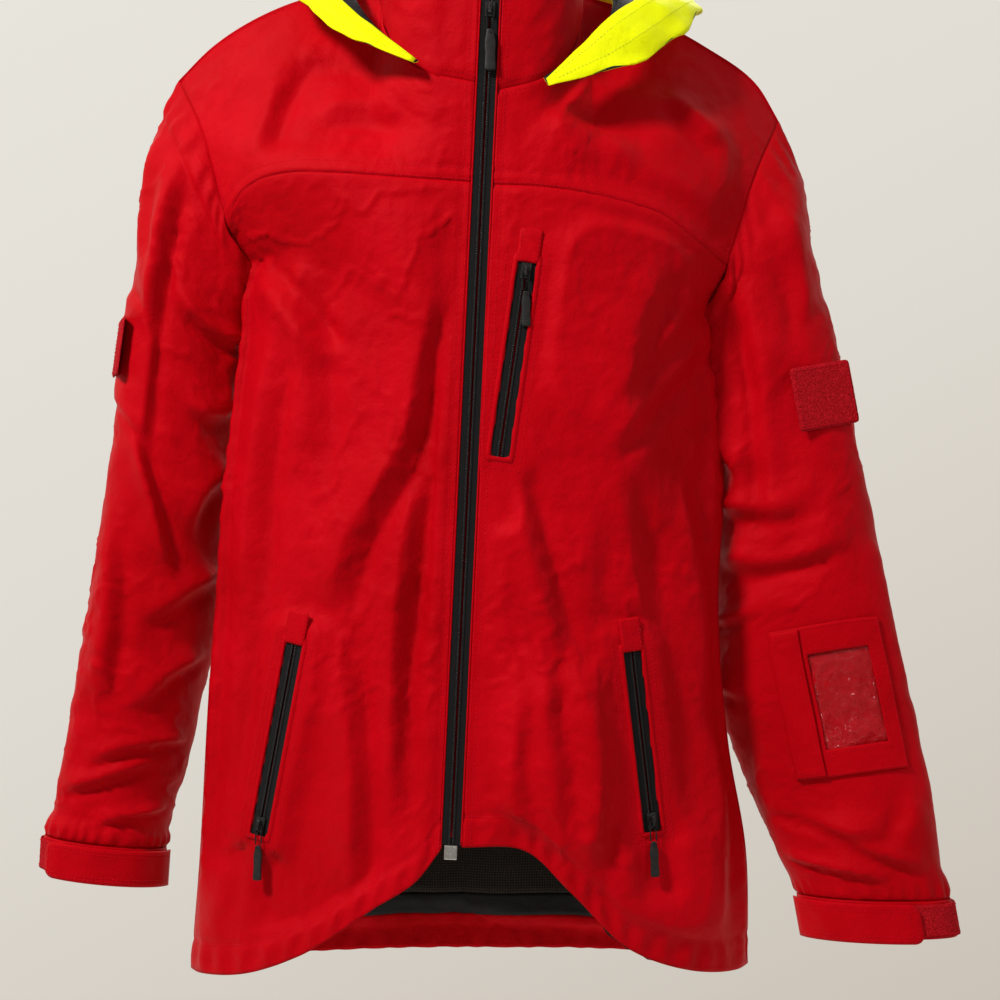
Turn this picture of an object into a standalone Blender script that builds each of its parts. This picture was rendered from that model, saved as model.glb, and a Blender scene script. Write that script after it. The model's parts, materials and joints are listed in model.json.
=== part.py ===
"""Foul weather jacket hanging from its loop. Metres, +Z up, the front faces -Y.

The origin is where the hanger loop rests on its hook. "right" and "left" are the wearer's,
so the right half lies at -X. Every fabric piece is a patch between four edge curves.
"""

import math

import bmesh
import bpy
import numpy as np
from mathutils import Matrix, Vector

SHELL = 0.0010          # thickness of one layer of shell fabric, with its membrane
LINING = 0.0008         # thickness of a lining layer
GAP = 0.0005            # clearance between neighbouring pieces
ZIP_TOP = (0.0115, -0.104, -0.017)
ZIP_BOTTOM = (-0.0225, -0.119, -0.748)
TAPE_HALF = 0.0085      # from the zip's centre line to the tape's outer edge
TAPE_THICK = 0.0006
COIL_HALF = 0.0009      # half the thickness of the coil beside the centre line
COIL_WIDTH = 0.0020
TEETH_GAP = 0.0016      # free space between the two coils
SLIDER_LENGTH = 0.013
HEM_DEPTH = 0.034       # height of the facing inside the back hem
COLLAR_LAYER_GAP = 0.002
FRONT_LINING_DEPTH = 0.0105     # from a front panel's outer face to its lining
BACK_LINING_DEPTH = 0.0040
FACING_DEPTH = 0.0022
BAG_DEPTH = 0.0062
BACK_HEIGHT = 0.65              # the back panel's height, which turns metres into shares of it
CUFF_THICK = 0.0014
STRIP_LIFT, STRIP_THICK = 0.0026, 0.0011    # the loop strip on the cuff: height off it, thickness
TAB_LIFT, TAB_THICK = 0.0046, 0.0014
SLIDER_PLATE = 0.0012           # thickness of a slider's plates
SLIDER_HALF = 0.0042            # half of a slider's width
SLIDER_POST = 0.0005            # half the thickness of the post between its plates
LINK_WIRE = 0.0006              # radius of the wire link
LINK_LEG = 0.0027               # half the link's width
LINK_DROP = 0.017
GRIP_HALF_DEPTH = 0.0016
MAIN_GRIP = (0.036, 0.0095)     # length and width
POCKET_GRIP = (0.030, 0.0080)
MAIN_SLIDER_BELOW_TOP = 0.020
LOOP_CORD = 0.0014              # radius of the hanger loop
PATCH_INNER, PATCH_OUTER = 0.0006, 0.0022   # heights of a badge patch's two faces off the sleeve
ID_FRAME_LIFT, ID_WINDOW_LIFT, ID_FLAP_LIFT = 0.0016, 0.0014, 0.0046

RED = ("red_shell", (0.60, 0.008, 0.012), 0.55, 0.0)
YELLOW = ("hivis_yellow", (0.80, 0.95, 0.01), 0.6, 0.0)
BLACK = ("black_lining", (0.012, 0.012, 0.013), 0.8, 0.0)
MESH = ("black_mesh", (0.02, 0.02, 0.02), 0.9, 0.0)
TAPE = ("zip_tape", (0.015, 0.015, 0.017), 0.75, 0.0)
METAL = ("slider_metal", (0.03, 0.03, 0.03), 0.4, 0.9)
SILVER = ("box_metal", (0.6, 0.6, 0.58), 0.35, 1.0)
RUBBER = ("pull_rubber", (0.02, 0.02, 0.02), 0.7, 0.0)
LOOP = ("red_loop", (0.62, 0.02, 0.02), 0.95, 0.0)
FILM = ("clear_film", (0.8, 0.8, 0.8), 0.1, 0.0)

# Edge curves shared by the panels, per side: the wearer's right first.
SHOULDER_TIP = {"right": (-0.268, -0.006, -0.080), "left": (0.268, -0.006, -0.116)}
UNDERARM = {"right": (-0.206, -0.028, -0.250), "left": (0.205, -0.028, -0.292)}
YOKE_CORNER = {"right": (-0.220, -0.058, -0.212), "left": (0.217, -0.058, -0.250)}
NECK_POINT = {"right": (-0.084, -0.012, 0.004), "left": (0.088, -0.012, -0.004)}
BACK_YOKE_Z = -0.210
BACK_CORNER = {"right": (-0.226, 0.024, -0.190), "left": (0.226, 0.024, -0.226)}
BACK_NECK = (0.0, 0.008, 0.002)

FRONT_YOKE_SEAM = {
    "right": [(-0.066, -0.110, -0.180), (-0.126, -0.104, -0.175), (-0.163, -0.094, -0.174),
              (-0.190, -0.081, -0.179), (-0.209, -0.068, -0.192)],
    "left": [(0.053, -0.110, -0.188), (0.121, -0.104, -0.199), (0.160, -0.094, -0.211),
             (0.190, -0.080, -0.232)],
}
SHOULDER_LINE = {
    "right": [(-0.172, -0.012, -0.014), (-0.237, -0.008, -0.050)],
    "left": [(0.150, -0.012, -0.024), (0.201, -0.010, -0.050), (0.248, -0.008, -0.084)],
}
NECK_SEAM = {
    "right": [(-0.051, -0.098, -0.086), (-0.082, -0.062, -0.046)],
    "left": [(0.056, -0.098, -0.094), (0.087, -0.062, -0.056)],
}
ARMHOLE_FRONT = {"right": (-0.243, -0.040, -0.130), "left": (0.244, -0.040, -0.168)}
SIDE_SEAM = {
    "right": [(-0.213, -0.030, -0.338), (-0.223, -0.030, -0.440), (-0.238, -0.030, -0.620),
              (-0.247, -0.030, -0.780)],
    "left": [(0.213, -0.030, -0.364), (0.217, -0.030, -0.440), (0.212, -0.030, -0.535),
             (0.221, -0.030, -0.670), (0.236, -0.030, -0.760)],
}
SIDE_HEM = {"right": (-0.254, -0.030, -0.866), "left": (0.238, -0.030, -0.862)}
FRONT_HEM = {
    "right": [(-0.052, -0.119, -0.776), (-0.087, -0.116, -0.799), (-0.150, -0.103, -0.841),
              (-0.205, -0.080, -0.862), (-0.243, -0.052, -0.866)],
    "left": [(0.040, -0.119, -0.750), (0.078, -0.117, -0.785), (0.130, -0.107, -0.836),
             (0.185, -0.085, -0.858), (0.226, -0.053, -0.863)],
}
BACK_HEM = [(-0.225, 0.000, -0.864), (-0.130, 0.026, -0.861), (0.0, 0.034, -0.860),
            (0.120, 0.026, -0.860), (0.212, 0.000, -0.861)]

# A sleeve is spanned between its outer and its inner edge: outer, inner.
SLEEVE_OUTER = {
    "right": [(-0.289, -0.008, -0.125), (-0.301, -0.012, -0.198), (-0.322, -0.020, -0.354),
              (-0.350, -0.026, -0.560), (-0.382, -0.030, -0.748)],
    "left": [(0.285, -0.008, -0.158), (0.299, -0.012, -0.229), (0.333, -0.018, -0.380),
             (0.378, -0.026, -0.593), (0.416, -0.030, -0.804)],
}
SLEEVE_INNER = {
    "right": [(-0.217, 0.000, -0.330), (-0.228, 0.012, -0.436), (-0.240, 0.012, -0.544),
              (-0.250, 0.008, -0.650), (-0.279, 0.000, -0.764)],
    "left": [(0.217, 0.000, -0.360), (0.222, 0.012, -0.440), (0.219, 0.012, -0.530),
             (0.226, 0.006, -0.661), (0.283, -0.010, -0.804)],
}
SLEEVE_HALF_DEPTH = {"right": [0.046, 0.054, 0.050, 0.044, 0.036],
                     "left": [0.046, 0.052, 0.048, 0.042, 0.034]}
CUFF_DROP = {"right": (-0.002, 0.0, -0.030), "left": (0.006, 0.0, -0.033)}

# Hood pouch: where it starts at the neck, its lowest fold and its free rim, right tip to left tip.
HOOD_BASE = [(-0.049, -0.1075, -0.0815), (-0.090, -0.066, -0.026), (-0.094, -0.016, 0.016),
             (-0.080, 0.012, 0.022), (-0.045, 0.026, 0.022), (0.0, 0.030, 0.022), (0.045, 0.026, 0.020),
             (0.082, 0.012, 0.016), (0.098, -0.016, 0.010), (0.096, -0.066, -0.034),
             (0.055, -0.1095, -0.0945)]
HOOD_FOLD = [(-0.054, -0.1150, -0.0845), (-0.119, -0.104, -0.056), (-0.168, -0.036, 0.000),
             (-0.158, 0.030, -0.006), (-0.100, 0.064, -0.100), (0.0, 0.080, -0.180),
             (0.105, 0.064, -0.108), (0.172, 0.030, -0.022), (0.192, -0.034, -0.026),
             (0.143, -0.104, -0.080), (0.060, -0.1160, -0.1040)]
HOOD_RIM = [(-0.052, -0.1145, -0.0805), (-0.116, -0.090, -0.026), (-0.148, -0.026, 0.022),
            (-0.140, 0.036, 0.022), (-0.090, 0.076, 0.006), (0.0, 0.092, -0.006),
            (0.095, 0.076, 0.002), (0.150, 0.036, 0.012), (0.172, -0.022, 0.000),
            (0.124, -0.092, -0.032), (0.058, -0.1150, -0.0975)]

COLLAR_TOP = [(-0.052, -0.094, -0.008), (-0.084, -0.058, 0.034), (-0.080, -0.010, 0.066),
              (-0.046, 0.014, 0.078), (0.0, 0.022, 0.080), (0.050, 0.014, 0.074),
              (0.086, -0.010, 0.058), (0.092, -0.058, 0.026), (0.064, -0.094, -0.010)]

# Zips set into the front: upper end and lower end of the visible zip in front view (x, z).
POCKET_ZIPS = {
    "chest": {"side": "left", "top": (0.0425, -0.250), "bottom": (0.0185, -0.418), "rest": "top"},
    "hand_right": {"side": "right", "top": (-0.156, -0.574), "bottom": (-0.188, -0.742),
                   "rest": "bottom"},
    "hand_left": {"side": "left", "top": (0.131, -0.580), "bottom": (0.149, -0.737),
                  "rest": "bottom"},
}
# How far each pull hangs away from the front, in degrees.
PULLER_LEAN = {"main": 3.0, "chest": 0.0, "hand_right": 4.0, "hand_left": 6.0}

# Heights at which the yoke seam, the neck seam and the hem meet the main zip.
YOKE_AT_ZIP = {"right": -0.184, "left": -0.186}
NECK_AT_ZIP = {"right": -0.099, "left": -0.106}
HEM_AT_ZIP = {"right": -0.750, "left": -0.747}

# Angles on a sleeve's ring, in degrees: 0 is its outer edge, 90 its front, 180 its inner edge.
CUFF_LOOP_ANGLES = (-30, 128)
CUFF_TAB_ANGLES = {"right": (34, 172), "left": (62, 172)}
BADGE = {"right": {"t": 0.36, "angle": 12, "size": (0.058, 0.052)},
         "left": {"t": 0.325, "angle": 55, "size": (0.058, 0.056)}}
# The card pocket's corners: degrees at the top and bottom, then stations at the outer and inner
# sides. Its window and its flap take shares of its width, from the outer side, and of its height.
ID_POCKET = {"outer": (44, 44), "inner": (113, 119), "top": (0.628, 0.582), "bottom": (0.824, 0.807)}
ID_WINDOW = ((0.17, 0.70), (0.185, 0.815))
ID_PANE = ((0.22, 0.65), (0.225, 0.775))
ID_FLAP = ((0.745, 0.98), (0.01, 0.99))
SIGN = {"right": -1.0, "left": 1.0}
INSIDE = Vector((0.0, -0.045, -0.450))

for old in list(bpy.data.objects):
    bpy.data.objects.remove(old, do_unlink=True)
parts = bpy.data.collections.new("foul_weather_jacket")
bpy.context.scene.collection.children.link(parts)
cutters = bpy.data.collections.new("cutters")
bpy.context.scene.collection.children.link(cutters)


def material(look):
    """One Principled material per finish."""
    name, colour, roughness, metallic = look
    found = bpy.data.materials.get(name)
    if found:
        return found
    made = bpy.data.materials.new(name)
    made.use_nodes = True
    shader = made.node_tree.nodes["Principled BSDF"]
    shader.inputs["Base Color"].default_value = (*colour, 1.0)
    shader.inputs["Roughness"].default_value = roughness
    shader.inputs["Metallic"].default_value = metallic
    return made


def add_object(name, data, look, collection=parts):
    made = bpy.data.objects.new(name, data)
    if look:
        data.materials.append(material(look))
    collection.objects.link(made)
    return made


def spline(points):
    """A smooth curve through the points, as a function from 0 to 1 by chord length."""
    p = np.array(points, float)
    gaps = np.sqrt(((p[1:] - p[:-1]) ** 2).sum(axis=1))
    knots = np.concatenate([[0.0], np.cumsum(gaps)]) / gaps.sum()
    slopes = np.gradient(p, knots, axis=0)

    def at(t):
        i = int(min(max(np.searchsorted(knots, t, side="right") - 1, 0), len(p) - 2))
        h = knots[i + 1] - knots[i]
        s = (t - knots[i]) / h
        start = (2 * s**3 - 3 * s**2 + 1) * p[i] + (s**3 - 2 * s**2 + s) * h * slopes[i]
        end = (3 * s**2 - 2 * s**3) * p[i + 1] + (s**3 - s**2) * h * slopes[i + 1]
        return start + end
    return at


def coons(bottom, top, inner, outer, fade=2):
    """A patch between edge curves: bottom and top run inner to outer, the others run upwards.

    How far a side edge strays from the straight blend fades out within the patch.
    """
    def at(u, v):
        ruled = (1 - v) * bottom(u) + v * top(u)
        first = inner(v) - ((1 - v) * bottom(0.0) + v * top(0.0))
        last = outer(v) - ((1 - v) * bottom(1.0) + v * top(1.0))
        return Vector(ruled + (1 - u) ** fade * first + u**fade * last)
    return at


def normal_at(surface, u, v, step=0.004):
    across = surface(min(u + step, 1.0), v) - surface(max(u - step, 0.0), v)
    upward = surface(u, min(v + step, 1.0)) - surface(u, max(v - step, 0.0))
    return across.cross(upward).normalized()


def outward_sign(surface, inside):
    """1 if the patch's own normal points away from the inside, or else -1."""
    middle = surface(0.5, 0.5)
    return 1.0 if normal_at(surface, 0.5, 0.5).dot(middle - inside) > 0 else -1.0


def inset(surface, distance, inside=INSIDE):
    """The patch moved inwards by a distance."""
    sign = outward_sign(surface, inside)

    def at(u, v):
        return surface(u, v) - sign * distance * normal_at(surface, u, v)
    return at


def shell(name, surface, look, grid, span=(0.0, 1.0, 0.0, 1.0), thickness=SHELL, inside=INSIDE):
    """A closed sheet: the patch is its outer face, and its thickness lies on the inside."""
    columns, rows = grid
    sign = outward_sign(surface, inside)
    bm = bmesh.new()
    lines = []
    for j in range(rows + 1):
        v = span[2] + (span[3] - span[2]) * j / rows
        lines.append([bm.verts.new(surface(span[0] + (span[1] - span[0]) * i / columns, v))
                      for i in range(columns + 1)])
    for low, high in zip(lines, lines[1:]):
        for i in range(columns):
            face = [low[i], low[i + 1], high[i + 1], high[i]]
            bm.faces.new(face if sign > 0 else face[::-1])
    mesh = bpy.data.meshes.new(name)
    bm.to_mesh(mesh)
    bm.free()
    made = add_object(name, mesh, look)
    solid = made.modifiers.new("Solidify", "SOLIDIFY")
    solid.thickness = thickness
    solid.offset = -1.0
    return made


def tube(name, ring, look, grid, span, thickness, outside=0.0):
    """A sleeve-like tube, open at both ends: ring(t, angle) is its outer face."""
    around, rows = grid
    bm = bmesh.new()
    lines = []
    for j in range(rows + 1):
        t = span[0] + (span[1] - span[0]) * j / rows
        lines.append([bm.verts.new(ring(t, 2 * math.pi * i / around, outside))
                      for i in range(around)])
    for low, high in zip(lines, lines[1:]):
        for i in range(around):
            k = (i + 1) % around
            bm.faces.new([low[i], low[k], high[k], high[i]])
    bmesh.ops.recalc_face_normals(bm, faces=bm.faces)
    middle = bm.faces[0]
    centre = sum((v.co for v in lines[0]), Vector()) / around
    if middle.normal.dot(middle.calc_center_median() - centre) < 0:
        bmesh.ops.reverse_faces(bm, faces=bm.faces)
    mesh = bpy.data.meshes.new(name)
    bm.to_mesh(mesh)
    bm.free()
    made = add_object(name, mesh, look)
    solid = made.modifiers.new("Solidify", "SOLIDIFY")
    solid.thickness = thickness
    solid.offset = -1.0
    return made


def frame_on(origin, along, outward):
    """A frame at the origin: local Z runs along, local -Y points outward."""
    z = Vector(along).normalized()
    y = -Vector(outward)
    y = (y - y.dot(z) * z).normalized()
    x = y.cross(z)
    turn = Matrix((x, y, z)).transposed().to_4x4()
    return Matrix.Translation(Vector(origin)) @ turn


def box(name, low, high, place, look, bevel=0.0, collection=parts):
    """A box between two corners of a local frame, with rounded edges."""
    bm = bmesh.new()
    bmesh.ops.create_cube(bm, size=1.0)
    low, high = Vector(low), Vector(high)
    for vert in bm.verts:
        vert.co = Vector((low[i] + (high[i] - low[i]) * (vert.co[i] + 0.5) for i in range(3)))
    mesh = bpy.data.meshes.new(name)
    bm.to_mesh(mesh)
    bm.free()
    made = add_object(name, mesh, look, collection)
    made.matrix_world = place
    if bevel:
        rounded = made.modifiers.new("Bevel", "BEVEL")
        rounded.width = bevel
        rounded.segments = 2
    return made


def prism(name, outline, start, end, place, look):
    """An outline in local X and Y, run along local Z."""
    bm = bmesh.new()
    face = bm.faces.new([bm.verts.new((x, y, start)) for x, y in outline])
    bm.normal_update()
    if face.normal.z > 0:
        face.normal_flip()
    far = bmesh.ops.extrude_face_region(bm, geom=[face])
    moved = [g for g in far["geom"] if isinstance(g, bmesh.types.BMVert)]
    bmesh.ops.translate(bm, verts=moved, vec=(0, 0, end - start))
    bmesh.ops.recalc_face_normals(bm, faces=bm.faces)
    mesh = bpy.data.meshes.new(name)
    bm.to_mesh(mesh)
    bm.free()
    made = add_object(name, mesh, look)
    made.matrix_world = place
    return made


def combine(target, other, operation):
    """A Boolean with a hidden helper."""
    other.hide_render = True
    other.display_type = "WIRE"
    for owner in list(other.users_collection):
        owner.objects.unlink(other)
    cutters.objects.link(other)
    step = target.modifiers.new(operation.title(), "BOOLEAN")
    step.operation = operation
    step.object = other


def zip_line(z):
    share = (z - ZIP_TOP[2]) / (ZIP_BOTTOM[2] - ZIP_TOP[2])
    return np.array(ZIP_TOP) + share * (np.array(ZIP_BOTTOM) - np.array(ZIP_TOP))


def beside_zip(side, z):
    """The edge of a front piece beside the main zip."""
    point = zip_line(z)
    point[0] += SIGN[side] * (TAPE_HALF + GAP)
    return point


def line(start, end):
    a, b = np.array(start, float), np.array(end, float)
    return lambda t: a + t * (b - a)


front, yoke = {}, {}
for side in ("right", "left"):
    seam = spline([beside_zip(side, YOKE_AT_ZIP[side])] + FRONT_YOKE_SEAM[side] + [YOKE_CORNER[side]])
    top = spline([beside_zip(side, NECK_AT_ZIP[side])] + NECK_SEAM[side] + [NECK_POINT[side]]
                 + SHOULDER_LINE[side] + [SHOULDER_TIP[side]])
    hem = spline([beside_zip(side, HEM_AT_ZIP[side])] + FRONT_HEM[side] + [SIDE_HEM[side]])
    edge = spline([SIDE_HEM[side]] + SIDE_SEAM[side][::-1] + [UNDERARM[side], YOKE_CORNER[side]])
    armhole = spline([YOKE_CORNER[side], ARMHOLE_FRONT[side], SHOULDER_TIP[side]])
    yoke[side] = coons(seam, top, line(seam(0), top(0)), armhole)
    front[side] = coons(hem, seam, line(hem(0), seam(0)), edge)

back_seam = spline([BACK_CORNER["right"], (-0.120, 0.030, BACK_YOKE_Z), (0.0, 0.034, BACK_YOKE_Z),
                    (0.120, 0.030, BACK_YOKE_Z - 0.008), BACK_CORNER["left"]])
back_top = spline([SHOULDER_TIP["right"]] + SHOULDER_LINE["right"][::-1] + [NECK_POINT["right"], BACK_NECK,
                  NECK_POINT["left"]] + SHOULDER_LINE["left"] + [SHOULDER_TIP["left"]])
back_hem = spline([SIDE_HEM["right"]] + BACK_HEM + [SIDE_HEM["left"]])
back_edge = {side: spline([SIDE_HEM[side]] + SIDE_SEAM[side][::-1] + [UNDERARM[side], BACK_CORNER[side]])
             for side in SIGN}
back_arm = {side: spline([BACK_CORNER[side], (SIGN[side] * 0.250, 0.020, SHOULDER_TIP[side][2] - 0.055),
                          SHOULDER_TIP[side]]) for side in SIGN}
back_yoke = coons(back_seam, back_top, back_arm["right"], back_arm["left"], fade=4)
back_panel = coons(back_hem, back_seam, back_edge["right"], back_edge["left"], fade=5)


def surface_point(surface, x, z):
    """The patch's u, v where it passes x and z, by repeated refinement."""
    u, v, reach = 0.5, 0.5, 0.5
    for _ in range(9):
        tries = [(u + reach * i / 4, v + reach * j / 4) for i in range(-4, 5) for j in range(-4, 5)]
        tries = [(min(max(a, 0.0), 1.0), min(max(b, 0.0), 1.0)) for a, b in tries]
        u, v = min(tries, key=lambda t: (surface(*t).x - x) ** 2 + (surface(*t).z - z) ** 2)
        reach *= 0.4
    return u, v


def sleeve_ring(side):
    """Outer face of a sleeve: t runs from the armhole to the cuff, the angle from its outer edge."""
    outer = spline([SHOULDER_TIP[side]] + SLEEVE_OUTER[side])
    inner = spline([UNDERARM[side]] + SLEEVE_INNER[side])
    depths = SLEEVE_HALF_DEPTH[side]
    stations = np.linspace(0, 1, len(depths))

    def at(t, angle, outside):
        a = Vector(outer(t))
        b = Vector(inner(t))
        half = (a - b) / 2
        depth = float(np.interp(t, stations, depths))
        centre = (a + b) / 2
        wide = half.normalized() * (half.length + outside)
        deep = Vector((0.0, depth + outside, 0.0))
        return centre + math.cos(angle) * wide - math.sin(angle) * deep
    return at


def cuff_ring(side):
    """The sleeve's last ring carried on downwards: t from 0 to 1 over the cuff's height."""
    sleeve = sleeve_ring(side)

    def at(t, angle, outside):
        return sleeve(1.0, angle, outside) + t * Vector(CUFF_DROP[side])
    return at


def make_body_shell():
    for side in ("right", "left"):
        shell(f"front_panel_{side}", front[side], RED, (12, 12), (0.0, 0.991, 0.0, 0.998))
        shell(f"front_yoke_{side}", yoke[side], RED, (12, 5), (0.0, 0.990, 0.008, 0.975))
    shell("back_panel", back_panel, RED, (18, 12), (0.010, 0.990, 0.0, 0.998))
    shell("back_yoke", back_yoke, RED, (18, 5), (0.008, 0.992, 0.008, 0.960))


def make_sleeves():
    for side in ("right", "left"):
        tube(f"sleeve_{side}", sleeve_ring(side), RED, (20, 12), (0.006, 0.998), SHELL)
        cuff = cuff_ring(side)
        tube(f"cuff_band_{side}", cuff, RED, (24, 1), (0.02, 1.0), CUFF_THICK)
        strip = patch_on(cuff, CUFF_LOOP_ANGLES, (0.08, 0.94), STRIP_LIFT)
        middle = axis_of(cuff)
        shell(f"cuff_loop_strip_{side}", strip, LOOP, (10, 1), thickness=STRIP_THICK, inside=middle)
        tab = patch_on(cuff, CUFF_TAB_ANGLES[side], (0.04, 1.10), TAB_LIFT)
        shell(f"cuff_tab_{side}", tab, RED, (10, 1), thickness=TAB_THICK, inside=middle)


def axis_of(ring, t=0.5):
    """The point in the middle of a ring."""
    return (ring(t, 0.0, 0.0) + ring(t, math.pi, 0.0)) / 2


def patch_on(ring, angles, span, outside):
    """The part of a tube between two angles and two stations, held off its surface."""
    def at(u, v):
        angle = math.radians(angles[0] + (angles[1] - angles[0]) * u)
        return ring(span[0] + (span[1] - span[0]) * v, angle, outside)
    return at


def share(pair, t):
    return pair[0] + (pair[1] - pair[0]) * t


def pocket_patch(ring, shares, outside):
    """A patch within the card pocket's slanted outline, held off the sleeve."""
    def at(u, v):
        across, down = share(shares[0], u), share(shares[1], v)
        angle = share((share(ID_POCKET["outer"], down), share(ID_POCKET["inner"], down)), across)
        station = share((share(ID_POCKET["top"], across), share(ID_POCKET["bottom"], across)), down)
        return ring(station, math.radians(angle), outside)
    return at


def make_collar():
    base_points = ([beside_zip("right", NECK_AT_ZIP["right"] + 0.003)]
                   + [Vector(p) + Vector((0, 0, 0.003)) for p in NECK_SEAM["right"]]
                   + [Vector(NECK_POINT["right"]) + Vector((0.004, 0, 0.004)),
                      Vector(BACK_NECK) + Vector((0, 0, 0.004)),
                      Vector(NECK_POINT["left"]) + Vector((-0.004, 0, 0.004))]
                   + [Vector(p) + Vector((0, 0, 0.003)) for p in NECK_SEAM["left"][::-1]]
                   + [beside_zip("left", NECK_AT_ZIP["left"] + 0.003)])
    base = spline([tuple(p) for p in base_points])
    top = spline([beside_zip("right", ZIP_TOP[2])] + COLLAR_TOP + [beside_zip("left", ZIP_TOP[2])])
    wall = coons(base, top, line(base(0), top(0)), line(base(1), top(1)))
    middle = Vector((0.0, -0.045, 0.020))
    shell("collar_shell", wall, RED, (26, 3), inside=middle)
    inner = inset(wall, SHELL + COLLAR_LAYER_GAP, middle)
    shell("collar_lining", inner, BLACK, (26, 3), (0.006, 0.994, 0.03, 0.97), LINING, middle)


def hood_surface(share=1.0):
    """The hanging hood as a pouch round the neck: u from tip to tip, v from base to rim.

    A share under 1 draws the pouch in towards its mouth, as the lining lies.
    """
    base, fold, rim = spline(HOOD_BASE), spline(HOOD_FOLD), spline(HOOD_RIM)

    def at(u, v):
        a, b, c = base(u), fold(u), rim(u)
        control = 2 * b - (a + c) / 2
        pouch = (1 - v) ** 2 * a + 2 * v * (1 - v) * control + v**2 * c
        mouth = (a + c) / 2
        return Vector(mouth + share * (pouch - mouth))
    return at


def make_hood():
    pouch = Vector((0.0, 0.055, 0.0))
    shell("hood_shell", hood_surface(), YELLOW, (24, 8), (0.0, 1.0, 0.06, 1.0), SHELL, pouch)
    shell("hood_lining", hood_surface(0.74), BLACK, (16, 8), (4 / 24, 20 / 24, 0.06, 1.0), LINING, pouch)


def plumb_frame(origin, normal):
    """A frame whose local Z hangs plumb in the plane across the normal."""
    return frame_on(origin, (0, 0, 1), normal)


def make_slider(name, place, length=SLIDER_LENGTH):
    """Two plates joined by a post, with a bridge on the front for the puller."""
    plate, half, post = SLIDER_PLATE, SLIDER_HALF, SLIDER_POST
    inner = COIL_HALF + 0.0004
    outline = [(-half, -inner - plate), (half, -inner - plate), (half, -inner), (post, -inner),
               (post, inner), (half, inner), (half, inner + plate), (-half, inner + plate),
               (-half, inner), (-post, inner), (-post, -inner), (-half, -inner)]
    body = prism(name, outline, -length / 2, length / 2, place, METAL)
    bridge = box(name + "_bridge", (-0.0011, -0.0062, -0.0042), (0.0011, -inner - 0.0004, 0.0042),
                 place, None, 0.0004, cutters)
    hole = box(name + "_hole", (-0.0030, -0.0050, -0.0026), (0.0030, -inner - plate - 0.0001, 0.0026),
               place, None, 0.0, cutters)
    combine(body, bridge, "UNION")
    combine(body, hole, "DIFFERENCE")
    return body


def make_puller(name, slider_place, normal, grip_size, lean):
    """A wire link through the slider's bridge and a moulded grip, hanging plumb."""
    pivot = slider_place @ Vector((0.0, -0.00375, 0.0))
    place = plumb_frame(pivot, normal) @ Matrix.Rotation(math.radians(-lean), 4, "X")
    curve = bpy.data.curves.new(name + "_link", "CURVE")
    curve.dimensions = "3D"
    curve.bevel_depth = LINK_WIRE
    curve.bevel_resolution = 1
    curve.use_fill_caps = True
    path = curve.splines.new("POLY")
    leg, drop = LINK_LEG, -LINK_DROP
    grip_length, grip_width = grip_size
    route = [(-leg, 0, drop), (-leg, 0, -0.004), (-leg, 0, -0.0012), (-leg * 0.6, 0, 0),
             (leg * 0.6, 0, 0), (leg, 0, -0.0012), (leg, 0, -0.004), (leg, 0, drop)]
    path.points.add(len(route) - 1)
    for point, where in zip(path.points, route):
        point.co = (*where, 1.0)
    link = add_object(name + "_link", curve, RUBBER)
    link.matrix_world = place
    high = drop - 0.0004
    low = high - grip_length
    grip = box(name + "_grip", (-grip_width / 2, -GRIP_HALF_DEPTH, low),
               (grip_width / 2, GRIP_HALF_DEPTH, high), place, RUBBER, 0.0010)
    for vert in grip.data.vertices:
        if vert.co.z > low + grip_length / 2:
            vert.co.x *= 0.78


def make_tapes(name, place, top, bottom, gap=TEETH_GAP):
    """Two woven tapes, each with its coil along the inner edge."""
    for side, sign in SIGN.items():
        inner = gap / 2
        outline = [(inner, -COIL_HALF), (inner + COIL_WIDTH, -COIL_HALF),
                   (inner + COIL_WIDTH, -TAPE_THICK / 2), (TAPE_HALF, -TAPE_THICK / 2),
                   (TAPE_HALF, TAPE_THICK / 2), (inner + COIL_WIDTH, TAPE_THICK / 2),
                   (inner + COIL_WIDTH, COIL_HALF), (inner, COIL_HALF)]
        outline = [(sign * x, y) for x, y in outline]
        prism(f"{name}_tape_{side}", outline, bottom, top, place, TAPE)


def make_main_zip():
    top, bottom = Vector(ZIP_TOP), Vector(ZIP_BOTTOM)
    middle = (top + bottom) / 2
    place = frame_on(middle, top - bottom, (0, -1, 0))
    half = (top - bottom).length / 2
    place = place @ Matrix.Translation((0, SHELL / 2, 0))
    make_tapes("main_zip", place, half, -half + 0.003)
    box("main_zip_box", (-0.0055, -0.0018, -half - 0.0092), (0.0055, 0.0018, -half + 0.0026),
        place, SILVER, 0.0006)
    rest = place @ Matrix.Translation((0, 0, half - MAIN_SLIDER_BELOW_TOP))
    make_slider("main_zip_slider", rest)
    make_puller("main_zip", rest, (0, -1, 0), MAIN_GRIP, PULLER_LEAN["main"])
    box("inner_placket", (-0.020, 0.0055, -half + 0.010), (0.020, 0.0067, half - 0.004), place, RED, 0.0)


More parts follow.
